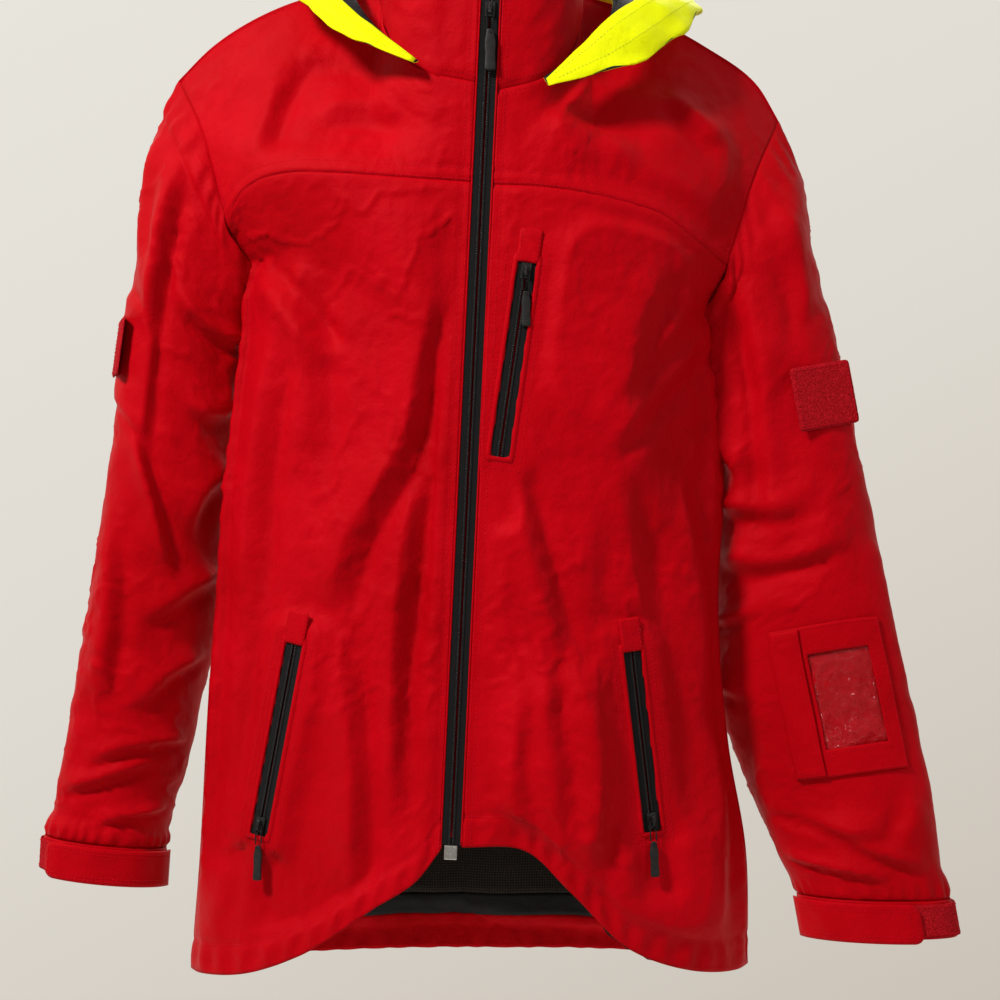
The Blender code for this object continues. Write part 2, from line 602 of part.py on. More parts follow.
def make_pocket_zip(name, spec):
    """A zip set into a slot in a front panel, with its garage and its bag."""
    side = spec["side"]
    surface = front[side]
    ends = []
    for x, z in (spec["top"], spec["bottom"]):
        u, v = surface_point(surface, x, z)
        ends.append(surface(u, v))
    top, bottom = ends
    u, v = surface_point(surface, *[(a + b) / 2 for a, b in zip(spec["top"], spec["bottom"])])
    normal = normal_at(surface, u, v) * outward_sign(surface, INSIDE)
    depth = surface(u, v) - (top + bottom) / 2
    middle = (top + bottom) / 2 + depth * 0.5
    place = frame_on(middle, top - bottom, normal) @ Matrix.Translation((0, SHELL / 2, 0))
    half = (top - bottom).length / 2
    slot = box(name + "_slot", (-TAPE_HALF - GAP, -0.012, -half - GAP),
               (TAPE_HALF + GAP, 0.012, half + GAP), place, None, 0.0, cutters)
    combine(bpy.data.objects[f"front_panel_{side}"], slot, "DIFFERENCE")
    make_tapes(name + "_zip", place, half, -half)
    box(name + "_zip_garage", (-0.0100, -0.0032, half - 0.003), (0.0100, -0.0020, half + 0.026),
        place, RED, 0.0004)
    travel = half - 0.010
    rest = place @ Matrix.Translation((0, 0, travel if spec["rest"] == "top" else -travel))
    make_slider(name + "_zip_slider", rest)
    make_puller(name + "_zip", rest, normal, POCKET_GRIP, PULLER_LEAN[name])
    make_bag(name, surface, (u, v), spec)


def make_bag(name, surface, centre, spec):
    """The inner wall of a pocket, sewn behind the panel."""
    u, v = centre
    wide, high = (0.22, 0.17) if name == "chest" else (0.22, 0.20)
    span = (max(u - wide, 0.09), min(u + wide, 0.88), max(v - high, 0.07), min(v + high, 0.93))
    shell(f"{name}_pocket_bag", inset(surface, BAG_DEPTH), MESH, (6, 4), span, LINING)


def make_linings():
    for side in ("right", "left"):
        shell(f"lining_front_{side}", inset(front[side], FRONT_LINING_DEPTH), MESH, (8, 8),
              (0.10, 0.86, 0.06, 0.96), LINING)
    back_inner = inset(back_panel, BACK_LINING_DEPTH)
    top_of_facing = HEM_DEPTH / BACK_HEIGHT
    shell("hem_facing_back", inset(back_panel, FACING_DEPTH), RED, (18, 1),
          (0.07, 0.93, 0.004, top_of_facing), LINING)
    shell("hem_tape_back", back_inner, BLACK, (18, 1), (0.07, 0.93, top_of_facing + 0.002,
          top_of_facing + 0.020), LINING)
    shell("lining_back", back_inner, MESH, (14, 8), (0.10, 0.90, top_of_facing + 0.022, 0.84), LINING)


def make_hanger_loop():
    """A tape loop sewn at the back neck, under whose top the hook passes."""
    route = [(-0.024, 0.0, -0.016), (-0.022, 0.0, -0.004), (-0.016, 0.0, 0.0012), (0.0, 0.0, 0.0014),
             (0.016, 0.0, 0.0012), (0.022, 0.0, -0.004), (0.024, 0.0, -0.016)]
    curve = bpy.data.curves.new("hanger_loop", "CURVE")
    curve.dimensions = "3D"
    curve.bevel_depth = LOOP_CORD
    curve.bevel_resolution = 2
    curve.use_fill_caps = True
    path = curve.splines.new("POLY")
    path.points.add(len(route) - 1)
    for point, where in zip(path.points, route):
        point.co = (*where, 1.0)
    add_object("hanger_loop", curve, BLACK)


def sleeve_frame(side, t, angle, lift):
    """A frame on a sleeve's surface: local Z up the sleeve, local -Y outward."""
    ring = sleeve_ring(side)
    here = ring(t, angle, 0.0)
    up = ring(t - 0.03, angle, 0.0) - ring(t + 0.03, angle, 0.0)
    across = ring(t, angle + 0.1, 0.0) - ring(t, angle - 0.1, 0.0)
    outward = up.cross(across)
    centre = (ring(t, 0.0, 0.0) + ring(t, math.pi, 0.0)) / 2
    if outward.dot(here - centre) < 0:
        outward.negate()
    return frame_on(here + outward.normalized() * lift, up, outward)


def make_badge_patches():
    for side, spec in BADGE.items():
        place = sleeve_frame(side, spec["t"], math.radians(spec["angle"]), 0.0)
        wide, high = spec["size"]
        box(f"badge_patch_{side}", (-wide / 2, -PATCH_OUTER, -high / 2),
            (wide / 2, -PATCH_INNER, high / 2), place, LOOP, 0.0)


def make_id_pocket():
    """The card pocket on the left forearm: a framed clear window under a vertical flap."""
    ring = sleeve_ring("left")
    inside = axis_of(ring, (ID_POCKET["top"][0] + ID_POCKET["bottom"][0]) / 2)
    frame = shell("id_pocket_frame", pocket_patch(ring, ((0, 1), (0, 1)), ID_FRAME_LIFT), RED, (12, 6),
                  thickness=SHELL, inside=inside)
    window = pocket_patch(ring, ID_WINDOW, ID_FRAME_LIFT)
    corners = [window(u, v) for u, v in ((0, 0), (1, 0), (1, 1), (0, 1))]
    middle = sum(corners, Vector()) / 4
    up = (corners[0] + corners[1]) / 2 - (corners[3] + corners[2]) / 2
    across = (corners[1] + corners[2]) / 2 - (corners[0] + corners[3]) / 2
    place = frame_on(middle, up, middle - inside)
    wide, high = across.length / 2, up.length / 2
    hole = box("id_window_hole", (-wide, -0.020, -high), (wide, 0.020, high), place, None, 0.0, cutters)
    combine(frame, hole, "DIFFERENCE")
    shell("id_window", pocket_patch(ring, ID_PANE, ID_WINDOW_LIFT), FILM, (8, 4), thickness=0.0005,
          inside=inside)
    shell("id_pocket_flap", pocket_patch(ring, ID_FLAP, ID_FLAP_LIFT), RED, (4, 2), thickness=0.0012,
          inside=inside)


make_body_shell()
make_sleeves()
make_collar()
make_hood()
make_main_zip()
for zip_name, zip_spec in POCKET_ZIPS.items():
    make_pocket_zip(zip_name, zip_spec)
make_linings()
make_hanger_loop()
make_badge_patches()
make_id_pocket()
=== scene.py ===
"""The looks of a foul weather jacket hanging from its loop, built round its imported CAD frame.

"right" and "left" are the wearer's, so the right half lies at -X, and the front faces -Y.
Fabric surfaces are grids of points, rows by columns. Hardware takes its place from the frame.
"""
import json
import math

import bmesh
import bpy
import numpy as np
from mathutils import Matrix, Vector
from mathutils.bvhtree import BVHTree


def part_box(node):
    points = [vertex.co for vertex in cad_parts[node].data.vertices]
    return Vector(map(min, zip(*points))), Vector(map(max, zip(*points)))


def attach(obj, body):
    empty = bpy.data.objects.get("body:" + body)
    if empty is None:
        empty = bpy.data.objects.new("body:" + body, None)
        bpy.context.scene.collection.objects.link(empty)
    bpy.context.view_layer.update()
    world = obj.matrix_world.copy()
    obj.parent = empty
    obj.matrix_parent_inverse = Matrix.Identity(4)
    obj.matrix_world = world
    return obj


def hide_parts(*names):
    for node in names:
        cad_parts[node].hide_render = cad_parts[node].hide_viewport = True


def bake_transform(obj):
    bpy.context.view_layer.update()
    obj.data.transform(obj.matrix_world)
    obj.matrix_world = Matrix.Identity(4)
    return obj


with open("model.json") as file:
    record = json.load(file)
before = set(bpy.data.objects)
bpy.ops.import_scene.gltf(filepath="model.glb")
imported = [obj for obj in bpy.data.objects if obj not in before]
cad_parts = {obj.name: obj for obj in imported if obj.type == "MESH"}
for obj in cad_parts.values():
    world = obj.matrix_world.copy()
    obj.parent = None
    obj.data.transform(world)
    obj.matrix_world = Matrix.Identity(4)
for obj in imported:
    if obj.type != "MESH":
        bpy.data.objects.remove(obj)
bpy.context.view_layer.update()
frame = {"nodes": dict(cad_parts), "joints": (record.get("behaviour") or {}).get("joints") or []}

SIDES = ("right", "left")
SIGN = {"right": -1.0, "left": 1.0}
MM = 0.001
FULL_TURN = 2 * math.pi
FABRIC = 0.5 * MM               # thickness of the drawn shell fabric
SLOT_HALF = 8.6 * MM            # from a pocket zip's centre line to the turned edge of its slot
SLOT_DENT = 4.2 * MM            # how far the cloth steps back behind a pocket zip's tapes
ZIP_LEVEL = 1.1 * MM            # how far the cloth beside a pocket zip lies in front of its middle
PULL_ROOM = 46 * MM             # the length of cloth below a slot that its pull hangs over
SLEEVE_PRESS = 7.0 * MM         # how far a hanging sleeve reaches in past the body's side seam
THREAD = 0.26 * MM              # radius of the sewing thread
STITCH = 2.6 * MM               # length of one stitch
STITCH_PITCH = 3.6 * MM
TOOTH_PITCH = 2.1 * MM
FRONT_COLUMNS, FRONT_ROWS, YOKE_ROWS = 45, 100, 22
BACK_COLUMNS = 2 * FRONT_COLUMNS
SLEEVE_AROUND, SLEEVE_ROWS = 60, 112
SIDE_SHARE = 0.85               # share of a panel's side edge that lies below the underarm
NECK_SHARE = 0.4                # share of a front yoke's top edge that lies along the neck
SETTLE_FRAMES = 20
SMOOTH_PASSES = 14
TORSO_GROW, SLEEVE_GROW = 0.030, 0.035                      # how much larger the settling cloth is cut
TORSO_ROOM, SLEEVE_ROOM = 12 * MM, 10 * MM                  # from the cloth to the core it hangs on
TORSO_MOST_MOVE, SLEEVE_MOST_MOVE = 8.0 * MM, 4.0 * MM      # caps on how far a point may settle
SLEEVE_LENGTH = 0.70
SLEEVE_RADIUS = 0.055                                       # to measure folds round it in metres
SLEEVE_SEAM = math.radians(200)                             # the underarm seam's angle
SLEEVE_BEND = 0.095                                         # how far out from the underarm the second point of sleeve_plane lies

TORSO_INSIDE = np.array((0.0, -0.045, -0.450))

# The garment's edge curves, in metres, as in the part's source.
ZIP_TOP = np.array((0.0115, -0.104, -0.017))
ZIP_BOTTOM = np.array((-0.0225, -0.119, -0.748))
ZIP_EDGE = 9.0 * MM
SHOULDER_TIP = {"right": (-0.268, -0.006, -0.080), "left": (0.268, -0.006, -0.116)}
UNDERARM = {"right": (-0.206, -0.028, -0.250), "left": (0.205, -0.028, -0.292)}
YOKE_CORNER = {"right": (-0.220, -0.058, -0.212), "left": (0.217, -0.058, -0.250)}
NECK_POINT = {"right": (-0.084, -0.012, 0.004), "left": (0.088, -0.012, -0.004)}
BACK_YOKE_Z = -0.210
BACK_CORNER = {"right": (-0.226, 0.024, -0.190), "left": (0.226, 0.024, -0.226)}
BACK_NECK = (0.0, 0.008, 0.002)
YOKE_AT_ZIP = {"right": -0.184, "left": -0.186}
NECK_AT_ZIP = {"right": -0.099, "left": -0.106}
HEM_AT_ZIP = {"right": -0.750, "left": -0.747}
FRONT_YOKE_SEAM = {
    "right": [(-0.066, -0.110, -0.180), (-0.126, -0.104, -0.175), (-0.163, -0.094, -0.174),
              (-0.190, -0.081, -0.179), (-0.209, -0.068, -0.192)],
    "left": [(0.053, -0.110, -0.188), (0.121, -0.104, -0.199), (0.160, -0.094, -0.211),
             (0.190, -0.080, -0.232)],
}
SHOULDER_LINE = {
    "right": [(-0.172, -0.012, -0.014), (-0.237, -0.008, -0.050)],
    "left": [(0.150, -0.012, -0.024), (0.201, -0.010, -0.050), (0.248, -0.008, -0.084)],
}
NECK_SEAM = {
    "right": [(-0.051, -0.098, -0.086), (-0.082, -0.062, -0.046)],
    "left": [(0.056, -0.098, -0.094), (0.087, -0.062, -0.056)],
}
ARMHOLE_FRONT = {"right": (-0.243, -0.040, -0.130), "left": (0.244, -0.040, -0.168)}
SIDE_SEAM = {
    "right": [(-0.213, -0.030, -0.338), (-0.223, -0.030, -0.440), (-0.238, -0.030, -0.620),
              (-0.247, -0.030, -0.780)],
    "left": [(0.213, -0.030, -0.364), (0.217, -0.030, -0.440), (0.212, -0.030, -0.535),
             (0.221, -0.030, -0.670), (0.236, -0.030, -0.760)],
}
SIDE_HEM = {"right": (-0.254, -0.030, -0.866), "left": (0.238, -0.030, -0.862)}
FRONT_HEM = {
    "right": [(-0.052, -0.119, -0.776), (-0.087, -0.116, -0.799), (-0.150, -0.103, -0.841),
              (-0.205, -0.080, -0.862), (-0.243, -0.052, -0.866)],
    "left": [(0.040, -0.119, -0.750), (0.078, -0.117, -0.785), (0.130, -0.107, -0.836),
             (0.185, -0.085, -0.858), (0.226, -0.053, -0.863)],
}
BACK_HEM = [(-0.225, 0.000, -0.864), (-0.130, 0.026, -0.861), (0.0, 0.034, -0.860),
            (0.120, 0.026, -0.860), (0.212, 0.000, -0.861)]
SLEEVE_OUTER = {
    "right": [(-0.289, -0.008, -0.125), (-0.301, -0.012, -0.198), (-0.322, -0.020, -0.354),
              (-0.350, -0.026, -0.560), (-0.382, -0.030, -0.748)],
    "left": [(0.285, -0.008, -0.158), (0.299, -0.012, -0.229), (0.333, -0.018, -0.380),
             (0.378, -0.026, -0.593), (0.416, -0.030, -0.804)],
}
SLEEVE_INNER = {
    "right": [(-0.217, 0.000, -0.330), (-0.228, 0.012, -0.436), (-0.240, 0.012, -0.544),
              (-0.250, 0.008, -0.650), (-0.279, 0.000, -0.764)],
    "left": [(0.217, 0.000, -0.360), (0.222, 0.012, -0.440), (0.219, 0.012, -0.530),
             (0.226, 0.006, -0.661), (0.283, -0.010, -0.804)],
}
SLEEVE_HALF_DEPTH = {"right": [0.046, 0.054, 0.050, 0.044, 0.036],
                     "left": [0.046, 0.052, 0.048, 0.042, 0.034]}
CUFF_DROP = {"right": (-0.002, 0.0, -0.030), "left": (0.006, 0.0, -0.033)}
HOOD_BASE = [(-0.049, -0.1075, -0.0815), (-0.090, -0.066, -0.026), (-0.094, -0.016, 0.016),
             (-0.080, 0.012, 0.022), (-0.045, 0.026, 0.022), (0.0, 0.030, 0.022), (0.045, 0.026, 0.020),
             (0.082, 0.012, 0.016), (0.098, -0.016, 0.010), (0.096, -0.066, -0.034),
             (0.055, -0.1095, -0.0945)]
HOOD_FOLD = [(-0.054, -0.1150, -0.0845), (-0.119, -0.104, -0.056), (-0.168, -0.036, 0.000),
             (-0.158, 0.030, -0.006), (-0.100, 0.064, -0.100), (0.0, 0.080, -0.180),
             (0.105, 0.064, -0.108), (0.172, 0.030, -0.022), (0.192, -0.034, -0.026),
             (0.143, -0.104, -0.080), (0.060, -0.1160, -0.1040)]
HOOD_RIM = [(-0.052, -0.1145, -0.0805), (-0.116, -0.090, -0.026), (-0.148, -0.026, 0.022),
            (-0.140, 0.036, 0.022), (-0.090, 0.076, 0.006), (0.0, 0.092, -0.006),
            (0.095, 0.076, 0.002), (0.150, 0.036, 0.012), (0.172, -0.022, 0.000),
            (0.124, -0.092, -0.032), (0.058, -0.1150, -0.0975)]
COLLAR_TOP = [(-0.052, -0.094, -0.008), (-0.084, -0.058, 0.034), (-0.080, -0.010, 0.066),
              (-0.046, 0.014, 0.078), (0.0, 0.022, 0.080), (0.050, 0.014, 0.074),
              (0.086, -0.010, 0.058), (0.092, -0.058, 0.026), (0.064, -0.094, -0.010)]


# ---------------------------------------------------------------- curves and grids


def spline(points):
    """A smooth curve through the points, as a function of an array from 0 to 1."""
    p = np.array([tuple(q) for q in points], float)
    gaps = np.linalg.norm(p[1:] - p[:-1], axis=1)
    knots = np.concatenate([[0.0], np.cumsum(gaps)]) / gaps.sum()
    slopes = np.gradient(p, knots, axis=0)

    def at(t):
        t = np.atleast_1d(np.asarray(t, float))
        i = np.clip(np.searchsorted(knots, t, side="right") - 1, 0, len(p) - 2)
        h = (knots[i + 1] - knots[i])[:, None]
        s = (t[:, None] - knots[i][:, None]) / h
        start = (2 * s**3 - 3 * s**2 + 1) * p[i] + (s**3 - 2 * s**2 + s) * h * slopes[i]
        end = (3 * s**2 - 2 * s**3) * p[i + 1] + (s**3 - s**2) * h * slopes[i + 1]
        return start + end
    return at


def line(start, end):
    a, b = np.array(start, float).reshape(3), np.array(end, float).reshape(3)
    return lambda t: a + np.atleast_1d(t)[:, None] * (b - a)


def joined(first, second, share):
    """Two curves end to end: the first takes this share of 0 to 1."""
    def at(t):
        t = np.atleast_1d(np.asarray(t, float))
        low = first(np.clip(t / share, 0, 1))
        high = second(np.clip((t - share) / (1 - share), 0, 1))
        return np.where((t <= share + 1e-9)[:, None], low, high)
    return at


def reversed_curve(curve):
    return lambda t: curve(1 - np.atleast_1d(t))


def coons(bottom, top, inner, outer, columns, rows, fade=2):
    """A grid between four edge curves. A side edge's own shape fades out within the patch."""
    u, v = np.linspace(0, 1, columns + 1), np.linspace(0, 1, rows + 1)
    b, t, first, last = bottom(u), top(u), inner(v), outer(v)
    v3, u3 = v[:, None, None], u[None, :, None]
    ruled = (1 - v3) * b[None] + v3 * t[None]
    first = (first - (1 - v[:, None]) * b[0] - v[:, None] * t[0])[:, None]
    last = (last - (1 - v[:, None]) * b[-1] - v[:, None] * t[-1])[:, None]
    return ruled + (1 - u3) ** fade * first + u3**fade * last


def unit(vectors):
    return vectors / np.maximum(np.linalg.norm(vectors, axis=-1, keepdims=True), 1e-12)


def distances_along(path):
    """How far along a path each of its points lies."""
    return np.concatenate([[0.0], np.cumsum(np.linalg.norm(np.diff(path, axis=0), axis=1))])


def at_distances(wanted, far, values):
    return np.stack([np.interp(wanted, far, values[:, k]) for k in range(3)], 1)


def even_steps(far, spacing):
    """Distances at an even spacing along a path, each in the middle of its step."""
    count = max(int(far[-1] / spacing), 1)
    return (np.arange(count) + 0.5) * far[-1] / count


def ring_angles(count):
    return np.linspace(0, FULL_TURN, count, endpoint=False)


def shares_of(grid):
    """From 0 to 1 down the rows and across the columns of a grid."""
    return np.linspace(0, 1, grid.shape[0])[:, None], np.linspace(0, 1, grid.shape[1])[None]


def closed_grid(grid):
    return np.concatenate([grid, grid[:, :1]], 1)


def cells(ids, wrap=False):
    """The four corners of each cell in a grid of point numbers."""
    ids = closed_grid(ids) if wrap else ids
    return np.stack([ids[:-1, :-1], ids[:-1, 1:], ids[1:, 1:], ids[1:, :-1]], -1)


def bar_faces(ids, capped=True):
    """Faces of closed bars, from point numbers by bar, by ring and round the ring."""
    after = np.roll(ids, -1, 2)
    faces = np.stack([ids[:, :-1], after[:, :-1], after[:, 1:], ids[:, 1:]], -1).reshape(-1, 4).tolist()
    return faces + ids[:, 0, ::-1].tolist() + ids[:, -1].tolist() if capped else faces


def grid_normals(grid, wrap=False):
    across = (np.roll(grid, -1, 1) - np.roll(grid, 1, 1)) if wrap else np.gradient(grid, axis=1)
    return unit(np.cross(across, np.gradient(grid, axis=0)))


def outward(grid, inside, wrap=False):
    """Grid normals that point away from a point, a curve of points, or a place inside."""
    normal = grid_normals(grid, wrap)
    away = grid - np.asarray(inside)
    return normal if (normal * away).sum(axis=2).mean() > 0 else -normal


def sample(grid, u, v):
    """Points of a grid at u along its columns and v along its rows, each from 0 to 1."""
    rows, columns = grid.shape[0] - 1, grid.shape[1] - 1
    x = np.clip(np.asarray(u, float) * columns, 0, columns - 1e-6)
    y = np.clip(np.asarray(v, float) * rows, 0, rows - 1e-6)
    i, j = np.floor(x).astype(int), np.floor(y).astype(int)
    fx, fy = (x - i)[..., None], (y - j)[..., None]
    low = grid[j, i] * (1 - fx) + grid[j, i + 1] * fx
    high = grid[j + 1, i] * (1 - fx) + grid[j + 1, i + 1] * fx
    return low * (1 - fy) + high * fy


def resample(path, spacing):
    """Points at an even spacing along a path."""
    far = distances_along(path)
    return at_distances(even_steps(far, spacing), far, path)


def smooth_step(x, low, high):
    s = np.clip((x - low) / (high - low), 0, 1)
    return s * s * (3 - 2 * s)


def waves(points, seed, scale, octaves=3):
    """Smooth pseudo-random heights from -1 to 1 at each point, the same every run."""
    rng = np.random.default_rng(seed)
    total = np.zeros(points.shape[:-1])
    for octave in range(octaves):
        for _ in range(5):
            direction = rng.normal(size=3)
            direction /= np.linalg.norm(direction)
            turn = FULL_TURN / (scale / 1.8**octave) * rng.uniform(0.7, 1.4)
            total += np.sin(points @ direction * turn + rng.uniform(0, 6.28)) / 1.8**octave
    return total / 5.5


# ---------------------------------------------------------------- the torso and the sleeves


def zip_point(z):
    share = (z - ZIP_TOP[2]) / (ZIP_BOTTOM[2] - ZIP_TOP[2])
    return ZIP_TOP + share * (ZIP_BOTTOM - ZIP_TOP)


def beside_zip(side, z):
    return tuple(zip_point(z) + np.array((SIGN[side] * ZIP_EDGE, 0.0, 0.0)))


def armhole_back(side):
    """The middle of the armhole's edge on the back yoke."""
    return (SIGN[side] * 0.250, 0.020, SHOULDER_TIP[side][2] - 0.055)


def torso_grids():
    """The six torso pieces as grids whose shared edges have the same points."""
    grids = {}
    side_edge = {s: spline([SIDE_HEM[s]] + SIDE_SEAM[s][::-1] + [UNDERARM[s]]) for s in SIDES}
    shoulder = {s: spline([NECK_POINT[s]] + SHOULDER_LINE[s] + [SHOULDER_TIP[s]]) for s in SIDES}
    for s in SIDES:
        seam = spline([beside_zip(s, YOKE_AT_ZIP[s])] + FRONT_YOKE_SEAM[s] + [YOKE_CORNER[s]])
        neck = spline([beside_zip(s, NECK_AT_ZIP[s])] + NECK_SEAM[s] + [NECK_POINT[s]])
        hem = spline([beside_zip(s, HEM_AT_ZIP[s])] + FRONT_HEM[s] + [SIDE_HEM[s]])
        top = joined(neck, shoulder[s], NECK_SHARE)
        edge = joined(side_edge[s], spline([UNDERARM[s], YOKE_CORNER[s]]), SIDE_SHARE)
        armhole = spline([YOKE_CORNER[s], ARMHOLE_FRONT[s], SHOULDER_TIP[s]])
        grids[f"front_panel_{s}"] = coons(hem, seam, line(hem(0), seam(0)), edge, FRONT_COLUMNS, FRONT_ROWS)
        grids[f"front_yoke_{s}"] = coons(seam, top, line(seam(0), top(0)), armhole, FRONT_COLUMNS, YOKE_ROWS)
    back_seam = spline([BACK_CORNER["right"], (-0.120, 0.030, BACK_YOKE_Z), (0.0, 0.034, BACK_YOKE_Z),
                        (0.120, 0.030, BACK_YOKE_Z - 0.008), BACK_CORNER["left"]])
    neck = spline([NECK_POINT["right"], (-0.050, 0.004, 0.006), BACK_NECK, (0.052, 0.004, 0.000),
                   NECK_POINT["left"]])
    shoulder_share = (1 - NECK_SHARE) / 2
    top = joined(reversed_curve(shoulder["right"]),
                 joined(neck, shoulder["left"], (1 - 2 * shoulder_share) / (1 - shoulder_share)),
                 shoulder_share)
    hem = spline([SIDE_HEM["right"]] + BACK_HEM + [SIDE_HEM["left"]])
    edge = {s: joined(side_edge[s], spline([UNDERARM[s], BACK_CORNER[s]]), SIDE_SHARE) for s in SIDES}
    arm = {s: spline([BACK_CORNER[s], armhole_back(s), SHOULDER_TIP[s]]) for s in SIDES}
    grids["back_panel"] = coons(hem, back_seam, edge["right"], edge["left"], BACK_COLUMNS, FRONT_ROWS, 5)
    grids["back_yoke"] = coons(back_seam, top, arm["right"], arm["left"], BACK_COLUMNS, YOKE_ROWS, 4)
    return grids


def armhole_loop(side, angles):
    """The armhole's closed edge at each ring angle: 0 at the shoulder tip, 90 degrees at the front."""
    tip, corner, under = SHOULDER_TIP[side], YOKE_CORNER[side], UNDERARM[side]
    front = joined(reversed_curve(spline([corner, ARMHOLE_FRONT[side], tip])), line(corner, under), 0.72)
    rear = joined(reversed_curve(spline([BACK_CORNER[side], armhole_back(side), tip])),
                  line(BACK_CORNER[side], under), 0.66)
    turn = np.asarray(angles) % FULL_TURN
    far = np.where(turn <= math.pi, turn, FULL_TURN - turn) / math.pi
    return np.where((turn <= math.pi)[:, None], front(far), rear(far))


def side_reach(side, heights):
    """How far out from the middle the torso's side seam lies at each height."""
    seam = spline([UNDERARM[side]] + SIDE_SEAM[side] + [SIDE_HEM[side]])(np.linspace(0, 1, 60))
    return np.interp(-np.asarray(heights), -seam[:, 2], SIGN[side] * seam[:, 0])


def sleeve_rings(side, stations, angles, outside=0.0):
    """Rings of a sleeve: station 0 is the armhole and 1 the cuff seam, angle 0 its outer edge."""
    stations = np.asarray(stations, float)
    outer = spline([SHOULDER_TIP[side]] + SLEEVE_OUTER[side])(np.clip(stations, 0, 1))
    inner = spline([UNDERARM[side]] + SLEEVE_INNER[side])(np.clip(stations, 0, 1))
    close = smooth_step(stations, 0.0, 0.08) * (1 - smooth_step(stations, 0.58, 0.74))
    reach = SIGN[side] * inner[:, 0]
    pressed = np.minimum(reach, side_reach(side, inner[:, 2]) - SLEEVE_PRESS)
    inner[:, 0] += SIGN[side] * close * (pressed - reach)
    depths = SLEEVE_HALF_DEPTH[side]
    depth = np.interp(stations, np.linspace(0, 1, len(depths)), depths) + outside
    half = (outer - inner) / 2
    length = np.linalg.norm(half, axis=1, keepdims=True)
    half = half / length * (length + outside)
    centre = (outer + inner) / 2
    below = np.clip(stations - 1, 0, None)[:, None] * np.array(CUFF_DROP[side])
    rings = (centre + below)[:, None] + np.cos(angles)[None, :, None] * half[:, None]
    rings[:, :, 1] -= np.sin(angles)[None] * depth[:, None]
    fade = np.clip(1 - stations / 0.14, 0, 1)[:, None, None] ** 2
    if outside == 0.0 and fade.max() > 0:
        first = sleeve_rings(side, [0.0], angles, 1e-9)[0]
        rings = rings + fade * (armhole_loop(side, angles) - first)[None]
        near = smooth_step(stations, 0.0, 0.03) * (1 - smooth_step(stations, 0.20, 0.30))
        faces_in = smooth_step(-np.cos(angles), 0.55, 0.95)
        reach = SIGN[side] * rings[..., 0]
        pressed = np.minimum(reach, side_reach(side, rings[..., 2]) - SLEEVE_PRESS)
        rings[..., 0] += SIGN[side] * near[:, None] * faces_in[None] * (pressed - reach)
    return rings


# Soft folds pressed into the cloth before it settles: from (x, z) to (x, z), width and height in mm.
FRONT_FOLDS = [
    ((-0.033, -0.270), (-0.086, -0.440), 15, 11), ((-0.078, -0.410), (-0.130, -0.540), 17, 11),
    ((-0.060, -0.430), (-0.076, -0.730), 13, 11), ((-0.200, -0.262), (-0.125, -0.330), 12, 10),
    ((-0.185, -0.300), (-0.205, -0.560), 14, 11), ((-0.120, -0.560), (-0.105, -0.790), 14, 10),
    ((-0.215, -0.560), (-0.225, -0.830), 12, 5), ((-0.150, -0.240), (-0.160, -0.420), 18, 8),
    ((-0.166, -0.070), (-0.200, -0.180), 12, 8), ((-0.060, -0.120), (-0.140, -0.105), 14, 7),
    ((0.204, -0.300), (0.110, -0.410), 13, 11), ((0.004, -0.400), (0.075, -0.590), 15, 11),
    ((0.056, -0.560), (0.062, -0.740), 13, 7), ((0.178, -0.430), (0.190, -0.640), 14, 13),
    ((0.150, -0.255), (0.118, -0.380), 16, 8), ((0.092, -0.600), (0.098, -0.790), 13, 10),
    ((0.195, -0.620), (0.212, -0.845), 13, 11), ((0.110, -0.440), (0.150, -0.560), 15, 8),
    ((0.215, -0.140), (0.160, -0.105), 11, 8), ((0.060, -0.125), (0.130, -0.170), 15, 7),
    ((0.030, -0.590), (0.036, -0.735), 11, 5),
]
BACK_FOLDS = [
    ((-0.110, -0.24), (-0.130, -0.84), 26, 6), ((0.020, -0.30), (-0.010, -0.85), 28, 6),
    ((0.120, -0.26), (0.150, -0.84), 26, 7), ((-0.190, -0.34), (-0.190, -0.84), 20, 5),
    ((0.070, -0.50), (0.080, -0.85), 20, 5), ((-0.060, -0.46), (-0.070, -0.84), 20, 5),
]
# Sleeve folds: from (station, degrees) to (station, degrees), width and height in mm.
SLEEVE_FOLDS = {
    "right": [((0.05, 58), (0.46, 62), 11, 11), ((0.44, 58), (0.58, 104), 9, 9), ((0.14, 150), (0.22, 84), 9, 8),
              ((0.25, 160), (0.33, 100), 9, 8), ((0.34, 150), (0.5, 112), 10, 9), ((0.52, 160), (0.66, 84), 9, 7),
              ((0.58, 40), (0.8, 62), 13, 7), ((0.66, 150), (0.78, 92), 9, 7), ((0.8, 150), (0.88, 60), 8, 6),
              ((0.86, 120), (0.93, 40), 7, 6), ((0.92, 150), (0.97, 80), 6, 5), ((0.05, 20), (0.24, 26), 14, 5)],
    "left": [((0.08, 108), (0.44, 92), 10, 11), ((0.16, 156), (0.34, 124), 10, 9), ((0.3, 160), (0.44, 84), 9, 9),
             ((0.42, 150), (0.52, 60), 11, 7), ((0.5, 165), (0.6, 80), 9, 7), ((0.6, 165), (0.68, 125), 9, 6),
             ((0.84, 150), (0.9, 70), 9, 6), ((0.88, 110), (0.96, 50), 7, 6), ((0.92, 150), (0.97, 80), 6, 5),
             ((0.06, 60), (0.24, 45), 14, 5), ((0.78, 30), (0.92, 60), 10, 5)],
}


